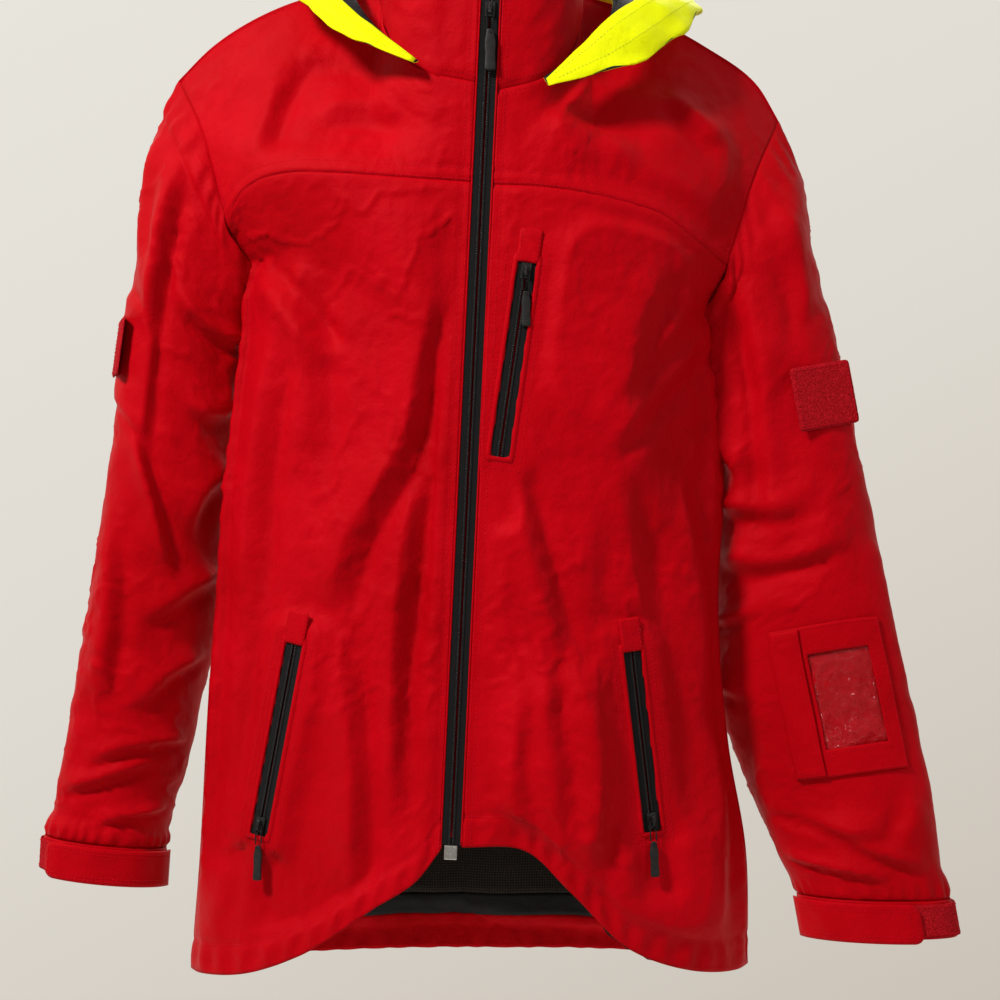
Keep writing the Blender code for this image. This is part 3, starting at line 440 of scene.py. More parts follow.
def ridge(x, y, start, end, width, height):
    """A rounded ridge along a segment in a plane, fading at both ends."""
    a, b = np.array(start, float), np.array(end, float)
    along = b - a
    length = np.linalg.norm(along)
    dx, dy = x - a[0], y - a[1]
    far = (dx * along[0] + dy * along[1]) / length**2
    off = (dx * along[1] - dy * along[0]) / length
    off = off + 0.35 * width * np.sin(far * 5.0 + a[0] * 60)
    taper = smooth_step(far, -0.10, 0.25) * (1 - smooth_step(far, 0.75, 1.10))
    reach = np.where(off > 0, 1.55 * width, 0.75 * width)
    crest = np.exp(-(np.abs(off / reach) ** 1.5))
    trough = np.exp(-(((off + 1.3 * width) / (0.6 * width)) ** 2))
    return height * (crest - 0.50 * trough) * taper


def fold_torso(grids):
    for name, grid in grids.items():
        folds = FRONT_FOLDS if name.startswith("front") else BACK_FOLDS
        lift = sum(ridge(grid[..., 0], grid[..., 2], a, b, w * MM, h * MM) for a, b, w, h in folds)
        lift = lift + 1.2 * MM * waves(grid, 5, 0.11)
        rows, columns = shares_of(grid)
        calm = smooth_step(columns, 0.0, 0.09) * (1 - smooth_step(columns, 0.95, 1.0))
        if "yoke" in name:
            calm = calm * smooth_step(rows, 0.0, 0.3) * (1 - smooth_step(rows, 0.75, 1.0))
        else:
            calm = calm * (1 - smooth_step(rows, 0.90, 1.0))
        grids[name] = grid + (lift * calm)[..., None] * outward(grid, TORSO_INSIDE)
    return grids


# Where pieces are sewn to a sleeve, which stays smooth there: stations, then angles in degrees.
HELD_AREAS = {"right": [(0.315, 0.405, -30, 54)], "left": [(0.275, 0.375, 27, 83), (0.575, 0.835, 38, 124)]}


def held(side, degrees, stations, soft_degrees, soft_stations):
    """1 where something is sewn to a sleeve, falling to 0 round it."""
    found = np.zeros(np.broadcast_shapes(np.shape(degrees), np.shape(stations)))
    for low, high, first, last in HELD_AREAS[side]:
        turn = np.abs((degrees - (first + last) / 2 + 180) % 360 - 180)
        away = np.abs(stations - (low + high) / 2)
        near = 1 - smooth_step(turn, (last - first) / 2, (last - first) / 2 + soft_degrees)
        near = near * (1 - smooth_step(away, (high - low) / 2, (high - low) / 2 + soft_stations))
        found = np.maximum(found, near)
    return found


def sleeve_grid(side):
    stations = np.linspace(0, 1, SLEEVE_ROWS + 1)
    angles = ring_angles(SLEEVE_AROUND)
    grid = sleeve_rings(side, stations, angles)
    centre = grid.mean(axis=1, keepdims=True)
    x = np.repeat(stations[:, None], SLEEVE_AROUND, 1) * SLEEVE_LENGTH
    y = np.repeat(np.degrees(angles)[None], SLEEVE_ROWS + 1, 0)
    lift = np.zeros_like(x)
    for (s0, d0), (s1, d1), w, h in SLEEVE_FOLDS[side]:
        for turn in (0, 180):
            spot = ((y - turn + 90) % 360) - 90
            a = (s0 * SLEEVE_LENGTH, math.radians(d0) * SLEEVE_RADIUS)
            b = (s1 * SLEEVE_LENGTH, math.radians(d1) * SLEEVE_RADIUS)
            gain = 1.15 if turn == 0 else 0.8      # the folds on the back are copies, and lower
            lift += gain * ridge(x, np.radians(spot) * SLEEVE_RADIUS, a, b, w * MM, h * MM)
    lift = lift + 1.5 * MM * waves(grid, 11, 0.08)
    hold = smooth_step(stations, 0.02, 0.10) * (1 - smooth_step(stations, 0.965, 1.0))
    lift = (lift - 0.35 * lift.mean()) * hold[:, None]
    lift = lift * (1 - held(side, np.degrees(angles)[None], stations[:, None], 34, 0.07))
    return grid + lift[..., None] * outward(grid, centre, True)


# ---------------------------------------------------------------- settling the cloth


def creases(points, seed, scale):
    """Thin raised lines that wander over the cloth in patches, from 0 to 1."""
    line_at = waves(points, seed, scale, 2) + 0.35 * waves(points, seed + 1, scale / 3, 2)
    patch = smooth_step(waves(points, seed + 2, scale * 2.2, 1), -0.25, 0.45)
    return np.exp(-((line_at / 0.085) ** 2)) * patch


def weld(grids, wraps=()):
    """One point list and quad list for several grids, with an index map for each grid."""
    flat = np.concatenate([g.reshape(-1, 3) for g in grids.values()])
    _, first, index = np.unique(np.round(flat, 5), axis=0, return_index=True, return_inverse=True)
    index = index.reshape(-1)
    points, quads, maps, start = flat[first], [], {}, 0
    for name, grid in grids.items():
        rows, columns = grid.shape[:2]
        ids = index[start:start + rows * columns].reshape(rows, columns)
        start += rows * columns
        maps[name] = ids
        quads.append(cells(ids, name in wraps).reshape(-1, 4))
    return points, np.concatenate(quads), maps


def smooth_moves(moved, quads, pinned, passes):
    """Evens out a field of moves over the cloth, so that it keeps folds and loses crinkles."""
    edges = np.concatenate([quads[:, [i, (i + 1) % 4]] for i in range(4)])
    edges = np.unique(np.sort(edges, axis=1), axis=0)
    count = np.bincount(edges.reshape(-1), minlength=len(moved))[:, None]
    for _ in range(passes):
        total = np.zeros_like(moved)
        np.add.at(total, edges[:, 0], moved[edges[:, 1]])
        np.add.at(total, edges[:, 1], moved[edges[:, 0]])
        moved = (0.35 * moved + 0.65 * total / np.maximum(count, 1)) * (1 - pinned[:, None])
    return moved


def settle(points, quads, pinned, grow, room, inside, most_move):
    """Lets the cloth hang: it is a little larger than its frame, so it falls into folds."""
    mesh = bpy.data.meshes.new("settling")
    mesh.from_pydata(points.tolist(), [], quads.tolist())
    cloth_object = bpy.data.objects.new("settling", mesh)
    bpy.context.scene.collection.objects.link(cloth_object)
    group = cloth_object.vertex_groups.new(name="pin")
    for weight in np.unique(np.round(pinned, 1)):
        if weight > 0:
            ids = np.nonzero(np.round(pinned, 1) == weight)[0]
            group.add(ids.tolist(), float(weight), "REPLACE")
    normal = np.empty(len(points) * 3)
    mesh.vertices.foreach_get("normal", normal)
    normal = normal.reshape(-1, 3)
    if (normal * (points - inside)).sum() < 0:
        normal = -normal
    core_mesh = bpy.data.meshes.new("core")
    core_mesh.from_pydata((points - normal * room).tolist(), [], quads.tolist())
    core = bpy.data.objects.new("core", core_mesh)
    bpy.context.scene.collection.objects.link(core)
    core.modifiers.new("Collision", "COLLISION")
    core.collision.thickness_outer = 1.0 * MM
    cloth = cloth_object.modifiers.new("Cloth", "CLOTH")
    s = cloth.settings
    s.quality = 5
    s.mass = 0.18
    s.tension_stiffness = 30
    s.compression_stiffness = 30
    s.shear_stiffness = 12
    s.bending_stiffness = 9.0
    s.air_damping = 4
    s.shrink_min = -grow
    s.vertex_group_mass = "pin"
    cloth.collision_settings.distance_min = 1.5 * MM
    cloth.collision_settings.use_self_collision = False
    cloth.point_cache.frame_start = 1
    cloth.point_cache.frame_end = SETTLE_FRAMES
    scene = bpy.context.scene
    for number in range(1, SETTLE_FRAMES + 1):
        scene.frame_set(number)
    graph = bpy.context.evaluated_depsgraph_get()
    done = cloth_object.evaluated_get(graph).to_mesh()
    result = np.empty(len(points) * 3)
    done.vertices.foreach_get("co", result)
    result = result.reshape(-1, 3)
    for ob in (cloth_object, core):
        bpy.data.objects.remove(ob, do_unlink=True)
    scene.frame_set(1)
    moved = smooth_moves(result - points, quads, pinned, SMOOTH_PASSES)
    length = np.linalg.norm(moved, axis=1, keepdims=True)
    return points + moved * np.minimum(1.0, most_move / np.maximum(length, 1e-9))


# ---------------------------------------------------------------- meshes


def new_object(name, points, faces, look):
    mesh = bpy.data.meshes.new(name)
    mesh.from_pydata(np.asarray(points, float).tolist(), [], [tuple(map(int, f)) for f in faces])
    mesh.polygons.foreach_set("use_smooth", [True] * len(mesh.polygons))
    mesh.materials.append(look)
    ob = bpy.data.objects.new(name, mesh)
    bpy.context.scene.collection.objects.link(ob)
    return ob


def refine(grid, wrap=False):
    """Twice as many rows and columns, on a smooth surface through the same points."""
    def along(g, closed):
        if closed:
            padded = np.concatenate([g[-1:], g, g[:2]])
        else:
            padded = np.concatenate([2 * g[:1] - g[1:2], g, 2 * g[-1:] - g[-2:-1]])
        middle = (-padded[:-3] + 9 * padded[1:-2] + 9 * padded[2:-1] - padded[3:]) / 16
        count = len(g) + len(middle)
        out = np.empty((count,) + g.shape[1:])
        out[0::2] = g
        out[1::2] = middle
        return out
    grid = along(grid, False)
    return np.swapaxes(along(np.swapaxes(grid, 0, 1), wrap), 0, 1)


def grid_lengths(grid):
    """Distance along the columns and along the rows at each point, in metres."""
    across = np.linalg.norm(np.diff(grid, axis=1), axis=2)
    down = np.linalg.norm(np.diff(grid, axis=0), axis=2)
    return (np.concatenate([np.zeros((grid.shape[0], 1)), np.cumsum(across, 1)], 1),
            np.concatenate([np.zeros((1, grid.shape[1])), np.cumsum(down, 0)], 0))


def flat_size(grid, wrap=False):
    """Width, length and area that the cloth of this grid is cut to."""
    closed = closed_grid(grid) if wrap else grid
    across, down = grid_lengths(closed)
    a, b = closed[:-1, 1:] - closed[:-1, :-1], closed[1:, :-1] - closed[:-1, :-1]
    c, d = closed[1:, :-1] - closed[1:, 1:], closed[:-1, 1:] - closed[1:, 1:]
    area = (np.linalg.norm(np.cross(a, b), axis=2) + np.linalg.norm(np.cross(c, d), axis=2)).sum() / 2
    width, length = float(across[:, -1].max()), float(down[-1].max())
    return width, length, float(min(area, width * length))


def cloth(name, grid, look, inside, wrap=False, thickness=FABRIC, keep=None, back_look=None):
    """A sheet from a grid: its outer face is the grid, and its UV map is in metres along the cloth."""
    rows, columns = grid.shape[:2]
    ids = np.arange(rows * columns).reshape(rows, columns)
    across, down = grid_lengths(closed_grid(grid) if wrap else grid)
    if wrap:
        down = closed_grid(down[:, :-1])
    quads = cells(ids, wrap)
    uv = np.stack([across, down], -1)
    corners = np.stack([uv[:-1, :-1], uv[:-1, 1:], uv[1:, 1:], uv[1:, :-1]], 2)
    normal = grid_normals(grid, wrap)
    if (normal * (grid - np.asarray(inside))).sum() < 0:
        quads, corners = quads[..., ::-1], corners[:, :, ::-1]
    quads, corners = quads.reshape(-1, 4), corners.reshape(-1, 4, 2)
    if keep is not None:
        quads, corners = quads[keep.reshape(-1)], corners[keep.reshape(-1)]
    ob = new_object(name, grid.reshape(-1, 3), quads, look)
    layer = ob.data.uv_layers.new(name="cut")
    layer.data.foreach_set("uv", corners.reshape(-1).astype(np.float32))
    if thickness:
        solid = ob.modifiers.new("Thickness", "SOLIDIFY")
        solid.thickness = thickness
        solid.offset = -1.0
        solid.use_quality_normals = True
        if back_look is not None:
            ob.data.materials.append(back_look)
            solid.material_offset = 1
    return ob


def loft(name, rings, look, capped=True):
    """A skin over rings of points; each ring is closed."""
    rings = np.asarray(rings, float)
    count, around = rings.shape[:2]
    ids = np.arange(count * around).reshape(1, count, around)
    ob = new_object(name, rings.reshape(-1, 3), bar_faces(ids, capped), look)
    recalculate(ob)
    return ob


def recalculate(ob):
    work = bmesh.new()
    work.from_mesh(ob.data)
    bmesh.ops.recalc_face_normals(work, faces=work.faces)
    work.to_mesh(ob.data)
    work.free()


def path_frames(path):
    """Unit tangents and two unit sides at each point of a path."""
    tangent = np.gradient(path, axis=0)
    tangent /= np.maximum(np.linalg.norm(tangent, axis=1, keepdims=True), 1e-12)
    side = np.cross(tangent, (0.13, 0.05, 0.99))
    weak = np.linalg.norm(side, axis=1) < 0.2
    side[weak] = np.cross(tangent[weak], (0.95, 0.1, 0.1))
    side /= np.linalg.norm(side, axis=1, keepdims=True)
    return tangent, side, np.cross(tangent, side)


def cord_rings(path, radius, around=8, twist=0.0, ribs=0, rib_height=0.0):
    """Rings round a path; strands stand out as ribs that turn by twist radians a metre."""
    _, side, up = path_frames(path)
    angle = ring_angles(around)
    far = distances_along(path)
    reach = radius + rib_height * np.cos(ribs * angle[None] + twist * far[:, None])
    return (path[:, None] + (np.cos(angle)[None] * reach)[..., None] * side[:, None]
            + (np.sin(angle)[None] * reach)[..., None] * up[:, None])


def thread(name, centres, directions, normals, look):
    """Stitches: short rounded bars of thread that dip at both ends."""
    # Each ring of a stitch: its place along it, its thickness and its lift, as shares.
    shape = [(-0.5, 0.25, -0.9), (-0.36, 0.85, 0.1), (0.0, 1.0, 0.55), (0.36, 0.85, 0.1), (0.5, 0.25, -0.9)]
    angle = ring_angles(6)
    across = np.cross(normals, directions)
    rings = []
    for along, thick, lift in shape:
        middle = centres + directions * along * STITCH + normals * lift * THREAD
        rings.append(middle[:, None] + np.cos(angle)[None, :, None] * across[:, None] * THREAD * thick
                     + np.sin(angle)[None, :, None] * normals[:, None] * THREAD * thick)
    points = np.stack(rings, 1)
    ids = np.arange(points[..., 0].size).reshape(points.shape[:3])
    return new_object(name, points.reshape(-1, 3), bar_faces(ids), look)


def stitch_paths(name, paths, look, body, lift=0.0):
    """Sews along paths of points, each given with its outward normals."""
    centres, directions, normals = [], [], []
    for path, normal in paths:
        far = distances_along(path)
        at = even_steps(far, STITCH_PITCH)
        d = unit(at_distances(at + MM, far, path) - at_distances(at - MM, far, path))
        n = at_distances(at, far, normal)
        n = unit(n - d * (n * d).sum(1, keepdims=True))
        centres.append(at_distances(at, far, path) + n * lift)
        directions.append(d)
        normals.append(n)
    ob = thread(name, np.concatenate(centres), np.concatenate(directions), np.concatenate(normals), look)
    if body:
        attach(ob, body)
    return ob


def grid_path(grid, normal, u, v):
    """A path over a grid, with its normals, from arrays of u and v."""
    u, v = np.broadcast_arrays(np.asarray(u, float), np.asarray(v, float))
    return sample(grid, u, v), unit(sample(normal, u, v))


# ---------------------------------------------------------------- materials


def shader(name, roughness, metallic=0.0, **sockets):
    look = bpy.data.materials.new(name)
    look.use_nodes = True
    principled = look.node_tree.nodes["Principled BSDF"]
    principled.inputs["Roughness"].default_value = roughness
    principled.inputs["Metallic"].default_value = metallic
    for socket, value in sockets.items():
        principled.inputs[socket.replace("_", " ")].default_value = value
    return look, look.node_tree.nodes, look.node_tree.links, principled


def ramp(nodes, links, source, stops):
    node = nodes.new("ShaderNodeValToRGB")
    node.color_ramp.elements[0].position, node.color_ramp.elements[0].color = stops[0][0], (*stops[0][1], 1)
    node.color_ramp.elements[1].position, node.color_ramp.elements[1].color = stops[-1][0], (*stops[-1][1], 1)
    for position, colour in stops[1:-1]:
        node.color_ramp.elements.new(position).color = (*colour, 1)
    links.new(source, node.inputs["Fac"])
    return node.outputs["Color"]


def noise(nodes, links, where, scale, detail=4.0, rough=0.55):
    node = nodes.new("ShaderNodeTexNoise")
    node.inputs["Scale"].default_value = scale
    node.inputs["Detail"].default_value = detail
    node.inputs["Roughness"].default_value = rough
    links.new(where, node.inputs["Vector"])
    return node.outputs["Fac"]


def maths(nodes, links, kind, a, b):
    node = nodes.new("ShaderNodeMath")
    node.operation = kind
    for socket, value in zip(node.inputs, (a, b)):
        if isinstance(value, (int, float)):
            socket.default_value = value
        else:
            links.new(value, socket)
    return node.outputs[0]


def weave(nodes, links, where, pitch):
    """Threads over and under each other, as a height from 0 to 1."""
    bands = []
    for direction in ("X", "Y"):
        node = nodes.new("ShaderNodeTexWave")
        node.bands_direction = direction
        node.inputs["Scale"].default_value = 0.314 / pitch
        node.inputs["Distortion"].default_value = 0.25
        node.inputs["Detail"].default_value = 1.0
        links.new(where, node.inputs["Vector"])
        bands.append(node.outputs["Fac"])
    return maths(nodes, links, "MULTIPLY", bands[0], bands[1])


def bumps(nodes, links, principled, layers):
    """Chained bumps, each (height socket, distance, strength)."""
    last = None
    for height, distance, strength in layers:
        node = nodes.new("ShaderNodeBump")
        node.inputs["Distance"].default_value = distance
        node.inputs["Strength"].default_value = strength
        links.new(height, node.inputs["Height"])
        if last is not None:
            links.new(last, node.inputs["Normal"])
        last = node.outputs["Normal"]
    links.new(last, principled.inputs["Normal"])


def fabric_look(name, dark, middle, light, roughness, pitch, coords="UV", crinkle=0.5, grain=0.35, **sockets):
    """Woven cloth: thread relief and soft creasing, with colour that varies a little at random and with the thread
    relief: painted lighter on the thread tops and darker between them, as painted highlight and painted shade.
    """
    look, nodes, links, principled = shader(name, roughness, **sockets)
    place = nodes.new("ShaderNodeTexCoord")
    where, body = place.outputs[coords], place.outputs["Object"]
    threads = weave(nodes, links, where, pitch)
    large = noise(nodes, links, body, 9.0, 5.0)
    small = noise(nodes, links, body, 140.0, 4.0, 0.6)
    # The colour follows a random mottle and the thread height: painted highlight on the thread tops, painted shade
    # between them.
    mottle_and_thread_shade = maths(nodes, links, "ADD", maths(nodes, links, "MULTIPLY", large, 0.75),
                   maths(nodes, links, "MULTIPLY", threads, 0.25))
    colour = ramp(nodes, links, mottle_and_thread_shade, [(0.28, dark), (0.50, middle), (0.72, light)])
    links.new(colour, principled.inputs["Base Color"])
    rough = nodes.new("ShaderNodeMapRange")
    rough.inputs["To Min"].default_value = roughness - 0.07
    rough.inputs["To Max"].default_value = roughness + 0.09
    links.new(noise(nodes, links, body, 34.0, 3.0), rough.inputs["Value"])
    links.new(rough.outputs[0], principled.inputs["Roughness"])
    crease = noise(nodes, links, body, 46.0, 6.0, 0.62)
    bumps(nodes, links, principled, [(crease, 0.0035, crinkle), (small, 0.0008, crinkle * 0.7),
                                     (threads, 0.00022, grain)])
    return look


def mesh_look(name):
    """Knitted mesh: small round holes in rows, painted darker inside than the yarn round them, as painted shade in
    the holes.
    """
    look, nodes, links, principled = shader(name, 0.85, Specular_IOR_Level=0.2)
    place = nodes.new("ShaderNodeTexCoord")
    cells = nodes.new("ShaderNodeTexVoronoi")
    cells.inputs["Scale"].default_value = 420.0
    cells.inputs["Randomness"].default_value = 0.12
    links.new(place.outputs["UV"], cells.inputs["Vector"])
    # Painted shade: the colour is darkest in the middle of each hole, where the bump is lowest too, and lighter on
    # the yarn round it.
    colour = ramp(nodes, links, cells.outputs["Distance"],
                  [(0.12, (0.0015, 0.0012, 0.001)), (0.34, (0.010, 0.007, 0.005)), (0.60, (0.035, 0.026, 0.020))])
    links.new(colour, principled.inputs["Base Color"])
    fibres = noise(nodes, links, place.outputs["Object"], 900.0, 3.0)
    bumps(nodes, links, principled, [(cells.outputs["Distance"], 0.0006, 0.8), (fibres, 0.0002, 0.4)])
    return look


def fuzzy_look(name, dark, light, scale=1300.0):
    """Loop pile: a mat of curled fibres, its hollows painted darker and its tops lighter, as painted shade and
    painted highlight.
    """
    look, nodes, links, principled = shader(name, 0.95, Specular_IOR_Level=0.10)
    place = nodes.new("ShaderNodeTexCoord")
    curls = nodes.new("ShaderNodeTexVoronoi")
    curls.inputs["Scale"].default_value = scale * 0.6
    links.new(place.outputs["Object"], curls.inputs["Vector"])
    pile = noise(nodes, links, place.outputs["Object"], scale, 5.0, 0.7)
    both = maths(nodes, links, "MULTIPLY", curls.outputs["Distance"], pile)
    # Painted shade and highlight: the colour follows the pile's height, darker in the hollows between the curls
    # and lighter on their tops.
    links.new(ramp(nodes, links, both, [(0.10, dark), (0.45, light)]), principled.inputs["Base Color"])
    bumps(nodes, links, principled, [(both, 0.0010, 0.9), (pile, 0.0004, 0.6)])
    return look


def hard_look(name, dark, light, roughness, metallic=0.0, grain=300.0, depth=0.0002, **sockets):
    """Metal or rubber: fine surface grain, with lighter worn spots."""
    look, nodes, links, principled = shader(name, roughness, metallic, **sockets)
    place = nodes.new("ShaderNodeTexCoord").outputs["Object"]
    wear = noise(nodes, links, place, grain, 5.0, 0.65)
    links.new(ramp(nodes, links, wear, [(0.35, dark), (0.70, light)]), principled.inputs["Base Color"])
    rough = nodes.new("ShaderNodeMapRange")
    rough.inputs["To Min"].default_value = max(roughness - 0.12, 0.05)
    rough.inputs["To Max"].default_value = roughness + 0.12
    links.new(noise(nodes, links, place, grain * 0.4, 3.0), rough.inputs["Value"])
    links.new(rough.outputs[0], principled.inputs["Roughness"])
    bumps(nodes, links, principled, [(noise(nodes, links, place, grain * 4, 3.0), depth, 0.4)])
    return look


def tape_look(name):
    """Woven tape: ribs across, with a diagonal twill between them; the grooves are painted darker and the ribs
    lighter, as painted shade and painted highlight.
    """
    look, nodes, links, principled = shader(name, 0.7, Specular_IOR_Level=0.16)
    place = nodes.new("ShaderNodeTexCoord").outputs["Object"]
    ribs = nodes.new("ShaderNodeTexWave")
    ribs.bands_direction = "Z"
    ribs.inputs["Scale"].default_value = 330.0
    links.new(place, ribs.inputs["Vector"])
    twill = nodes.new("ShaderNodeTexWave")
    twill.bands_direction = "DIAGONAL"
    twill.inputs["Scale"].default_value = 520.0
    links.new(place, twill.inputs["Vector"])
    both = maths(nodes, links, "MULTIPLY", ribs.outputs["Fac"], twill.outputs["Fac"])
    # Painted shade and highlight: the colour follows the height of the ribs and twill, darker in the grooves and
    # lighter on the ribs.
    links.new(ramp(nodes, links, both, [(0.1, (0.002, 0.002, 0.0025)), (0.8, (0.014, 0.013, 0.0135))]),
              principled.inputs["Base Color"])
    bumps(nodes, links, principled, [(both, 0.0003, 0.8)])
    return look


def film_look(name):
    """Clear vinyl: see-through and glossy, with soft crinkles whose raised parts are painted lighter red and whose
    dips darker, as painted highlight and painted shade.
    """
    look, nodes, links, principled = shader(name, 0.10, IOR=1.45, Alpha=0.15, Coat_Weight=0.6,
                                            Coat_Roughness=0.05)
    place = nodes.new("ShaderNodeTexCoord").outputs["Object"]
    crinkle = noise(nodes, links, place, 60.0, 3.0, 0.5)
    # Painted highlight and shade: the red follows the crinkles' height, lighter on their raised parts and darker
    # in their dips.
    links.new(ramp(nodes, links, crinkle, [(0.3, (0.40, 0.004, 0.010)), (0.7, (0.62, 0.030, 0.040))]),
              principled.inputs["Base Color"])
    bumps(nodes, links, principled, [(crinkle, 0.018, 1.0)])
    return look


RED_GLOSS = (1.0, 0.10, 0.13, 1.0)
YELLOW_GLOSS = (1.0, 1.0, 0.15, 1.0)
LOOKS = {
    "red": fabric_look("shell_red", (0.39, 0.0005, 0.0036), (0.46, 0.0008, 0.0052), (0.54, 0.0014, 0.0080),
                       0.50, 0.0007, Specular_IOR_Level=0.15, Specular_Tint=RED_GLOSS),
    "red_near": fabric_look("shell_red_small", (0.39, 0.0005, 0.0036), (0.46, 0.0008, 0.0052),
                            (0.54, 0.0014, 0.0080), 0.52, 0.0007, "Object", Specular_IOR_Level=0.15,
                            Specular_Tint=RED_GLOSS),
    # The facing is the shell's red cloth painted lighter than the shell, as painted light against the shade inside
    # the hem; the placket uses it too.
    "facing": fabric_look("facing_red_painted_lighter", (0.42, 0.0006, 0.003), (0.52, 0.0009, 0.005), (0.60, 0.0016, 0.008),
                          0.60, 0.0008, Specular_IOR_Level=0.18, Specular_Tint=RED_GLOSS),
    "yellow": fabric_look("hood_yellow", (0.74, 0.78, 0.001), (0.86, 0.93, 0.002), (0.95, 1.0, 0.004),
                          0.50, 0.0007, Specular_IOR_Level=0.22, Specular_Tint=YELLOW_GLOSS),
    "black": fabric_look("lining_black", (0.004, 0.004, 0.0045), (0.008, 0.0075, 0.008), (0.014, 0.013, 0.013),
                         0.62, 0.0009, Specular_IOR_Level=0.22),
    "mesh": mesh_look("mesh_black"),
    "tape": tape_look("zip_tape"),
    "teeth": hard_look("zip_coil", (0.005, 0.005, 0.006), (0.016, 0.016, 0.017), 0.36, 0.0, 900.0,
                       Specular_IOR_Level=0.35),
    "metal": hard_look("slider_metal", (0.020, 0.020, 0.021), (0.075, 0.072, 0.070), 0.36, 0.85, 500.0),
    "silver": hard_look("box_metal", (0.48, 0.47, 0.45), (0.74, 0.73, 0.71), 0.34, 1.0, 700.0),
    "rubber": hard_look("pull_rubber", (0.006, 0.0057, 0.0055), (0.014, 0.013, 0.012), 0.55, 0.0, 260.0, 0.0003,
                        Specular_IOR_Level=0.28),
    "cord": fabric_look("pull_cord", (0.004, 0.004, 0.004), (0.008, 0.008, 0.008), (0.014, 0.0135, 0.013),
                        0.8, 0.0005, "Object", Specular_IOR_Level=0.2),
    "pile": fuzzy_look("loop_red", (0.24, 0.0005, 0.003), (0.62, 0.008, 0.018)),
    "film": film_look("window_film"),
    "thread": fabric_look("thread_red", (0.46, 0.001, 0.008), (0.60, 0.003, 0.014), (0.72, 0.008, 0.024),
                          0.42, 0.0003, "Object", Specular_IOR_Level=0.30, Specular_Tint=RED_GLOSS),
    "thread_black": fabric_look("thread_black", (0.006, 0.006, 0.006), (0.016, 0.016, 0.016),
                                (0.03, 0.03, 0.03), 0.5, 0.0003, "Object"),
    "thread_yellow": fabric_look("thread_yellow", (0.55, 0.60, 0.002), (0.70, 0.76, 0.004),
                                 (0.85, 0.92, 0.01), 0.45, 0.0003, "Object"),
}


# ---------------------------------------------------------------- camera, light and floor


def make_camera():
    data = bpy.data.cameras.new("camera")
    camera = bpy.data.objects.new("camera", data)
    bpy.context.scene.collection.objects.link(camera)
    distance, wide = 2.0, 0.86          # from the front's nearest plane, and the width of view there
    data.sensor_width = 36.0
    data.lens = 36.0 * distance / wide
    camera.location = (0.019, -0.08 - distance, -0.454)
    camera.rotation_euler = (math.radians(90), 0.0, 0.0)
    bpy.context.scene.camera = camera


def area_light(name, place, target, size, power, colour=(1.0, 1.0, 1.0)):
    data = bpy.data.lights.new(name, "AREA")
    data.shape = "DISK"
    data.size = size
    data.energy = power
    data.color = colour
    light = bpy.data.objects.new(name, data)
    light.location = place
    light.rotation_euler = (Vector(target) - Vector(place)).to_track_quat("-Z", "Y").to_euler()
    bpy.context.scene.collection.objects.link(light)


def make_stage():
    """A round pale floor below the hanging jacket, soft light, and a pale surround."""
    angle = ring_angles(96)
    rings = [np.stack([r * np.cos(angle), r * np.sin(angle), np.full(96, z)], 1)
             for r, z in ((1.38, -1.330), (1.40, -1.328), (1.42, -1.322), (1.42, -1.302), (1.40, -1.2965),
                          (1.37, -1.295), (0.7, -1.295), (0.2, -1.295))]
    look = hard_look("floor_pale", (0.66, 0.63, 0.58), (0.72, 0.69, 0.64), 0.7, 0.0, 6.0)
    floor = loft("floor", rings, look)
    bpy.context.scene.view_settings.view_transform = "Standard"
    world = bpy.context.scene.world or bpy.data.worlds.new("world")
    bpy.context.scene.world = world
    world.use_nodes = True
    nodes, links = world.node_tree.nodes, world.node_tree.links
    back = nodes["Background"]
    place = nodes.new("ShaderNodeTexCoord").outputs["Generated"]
    split = nodes.new("ShaderNodeSeparateXYZ")
    links.new(place, split.inputs[0])
    down = maths(nodes, links, "MULTIPLY", split.outputs["Z"], -1.1)
    right = maths(nodes, links, "MULTIPLY", split.outputs["X"], 0.55)
    shade = maths(nodes, links, "ADD", maths(nodes, links, "ADD", down, right), 0.35)
    pale = ramp(nodes, links, shade, [(0.0, (0.88, 0.85, 0.78)), (0.35, (0.80, 0.76, 0.69)),
                                      (0.75, (0.62, 0.56, 0.49))])
    room = ramp(nodes, links, maths(nodes, links, "ADD", split.outputs["Y"], 0.5),
                [(0.0, (0.34, 0.34, 0.34)), (1.0, (1.0, 1.0, 1.0))])
    both = nodes.new("ShaderNodeMixRGB")
    both.blend_type = "MULTIPLY"
    both.inputs["Fac"].default_value = 1.0
    links.new(pale, both.inputs["Color1"])
    links.new(room, both.inputs["Color2"])
    links.new(both.outputs["Color"], back.inputs["Color"])
    back.inputs["Strength"].default_value = 0.92
    area_light("key", (-1.55, -1.6, 1.45), (0.0, -0.05, -0.42), 0.5, 92.0, (1.0, 0.985, 0.96))
    area_light("fill", (1.9, -1.5, 0.5), (0.1, -0.05, -0.45), 1.1, 11.0)
    area_light("back", (0.6, 2.2, 1.3), (0.0, 0.0, -0.40), 1.6, 30.0)


# ---------------------------------------------------------------- zips and their pulls

JOINTS = {j["name"]: j for j in frame["joints"]}
ZIPS = ("main", "chest", "hand_right", "hand_left")
ZIP_SIDE = {"chest": "left", "hand_right": "right", "hand_left": "left"}


def zips_on(piece):
    """The pocket zips that are set into a torso piece."""
    return [name for name, side in ZIP_SIDE.items() if piece == "front_panel_" + side]


def node_points(name):
    mesh = frame["nodes"][name].data
    points = np.empty(len(mesh.vertices) * 3, np.float32)
    mesh.vertices.foreach_get("co", points)
    return points.reshape(-1, 3).astype(float)


def joint_axis(name):
    axis = np.array(JOINTS[name]["axis"], float)
    return axis / np.linalg.norm(axis)


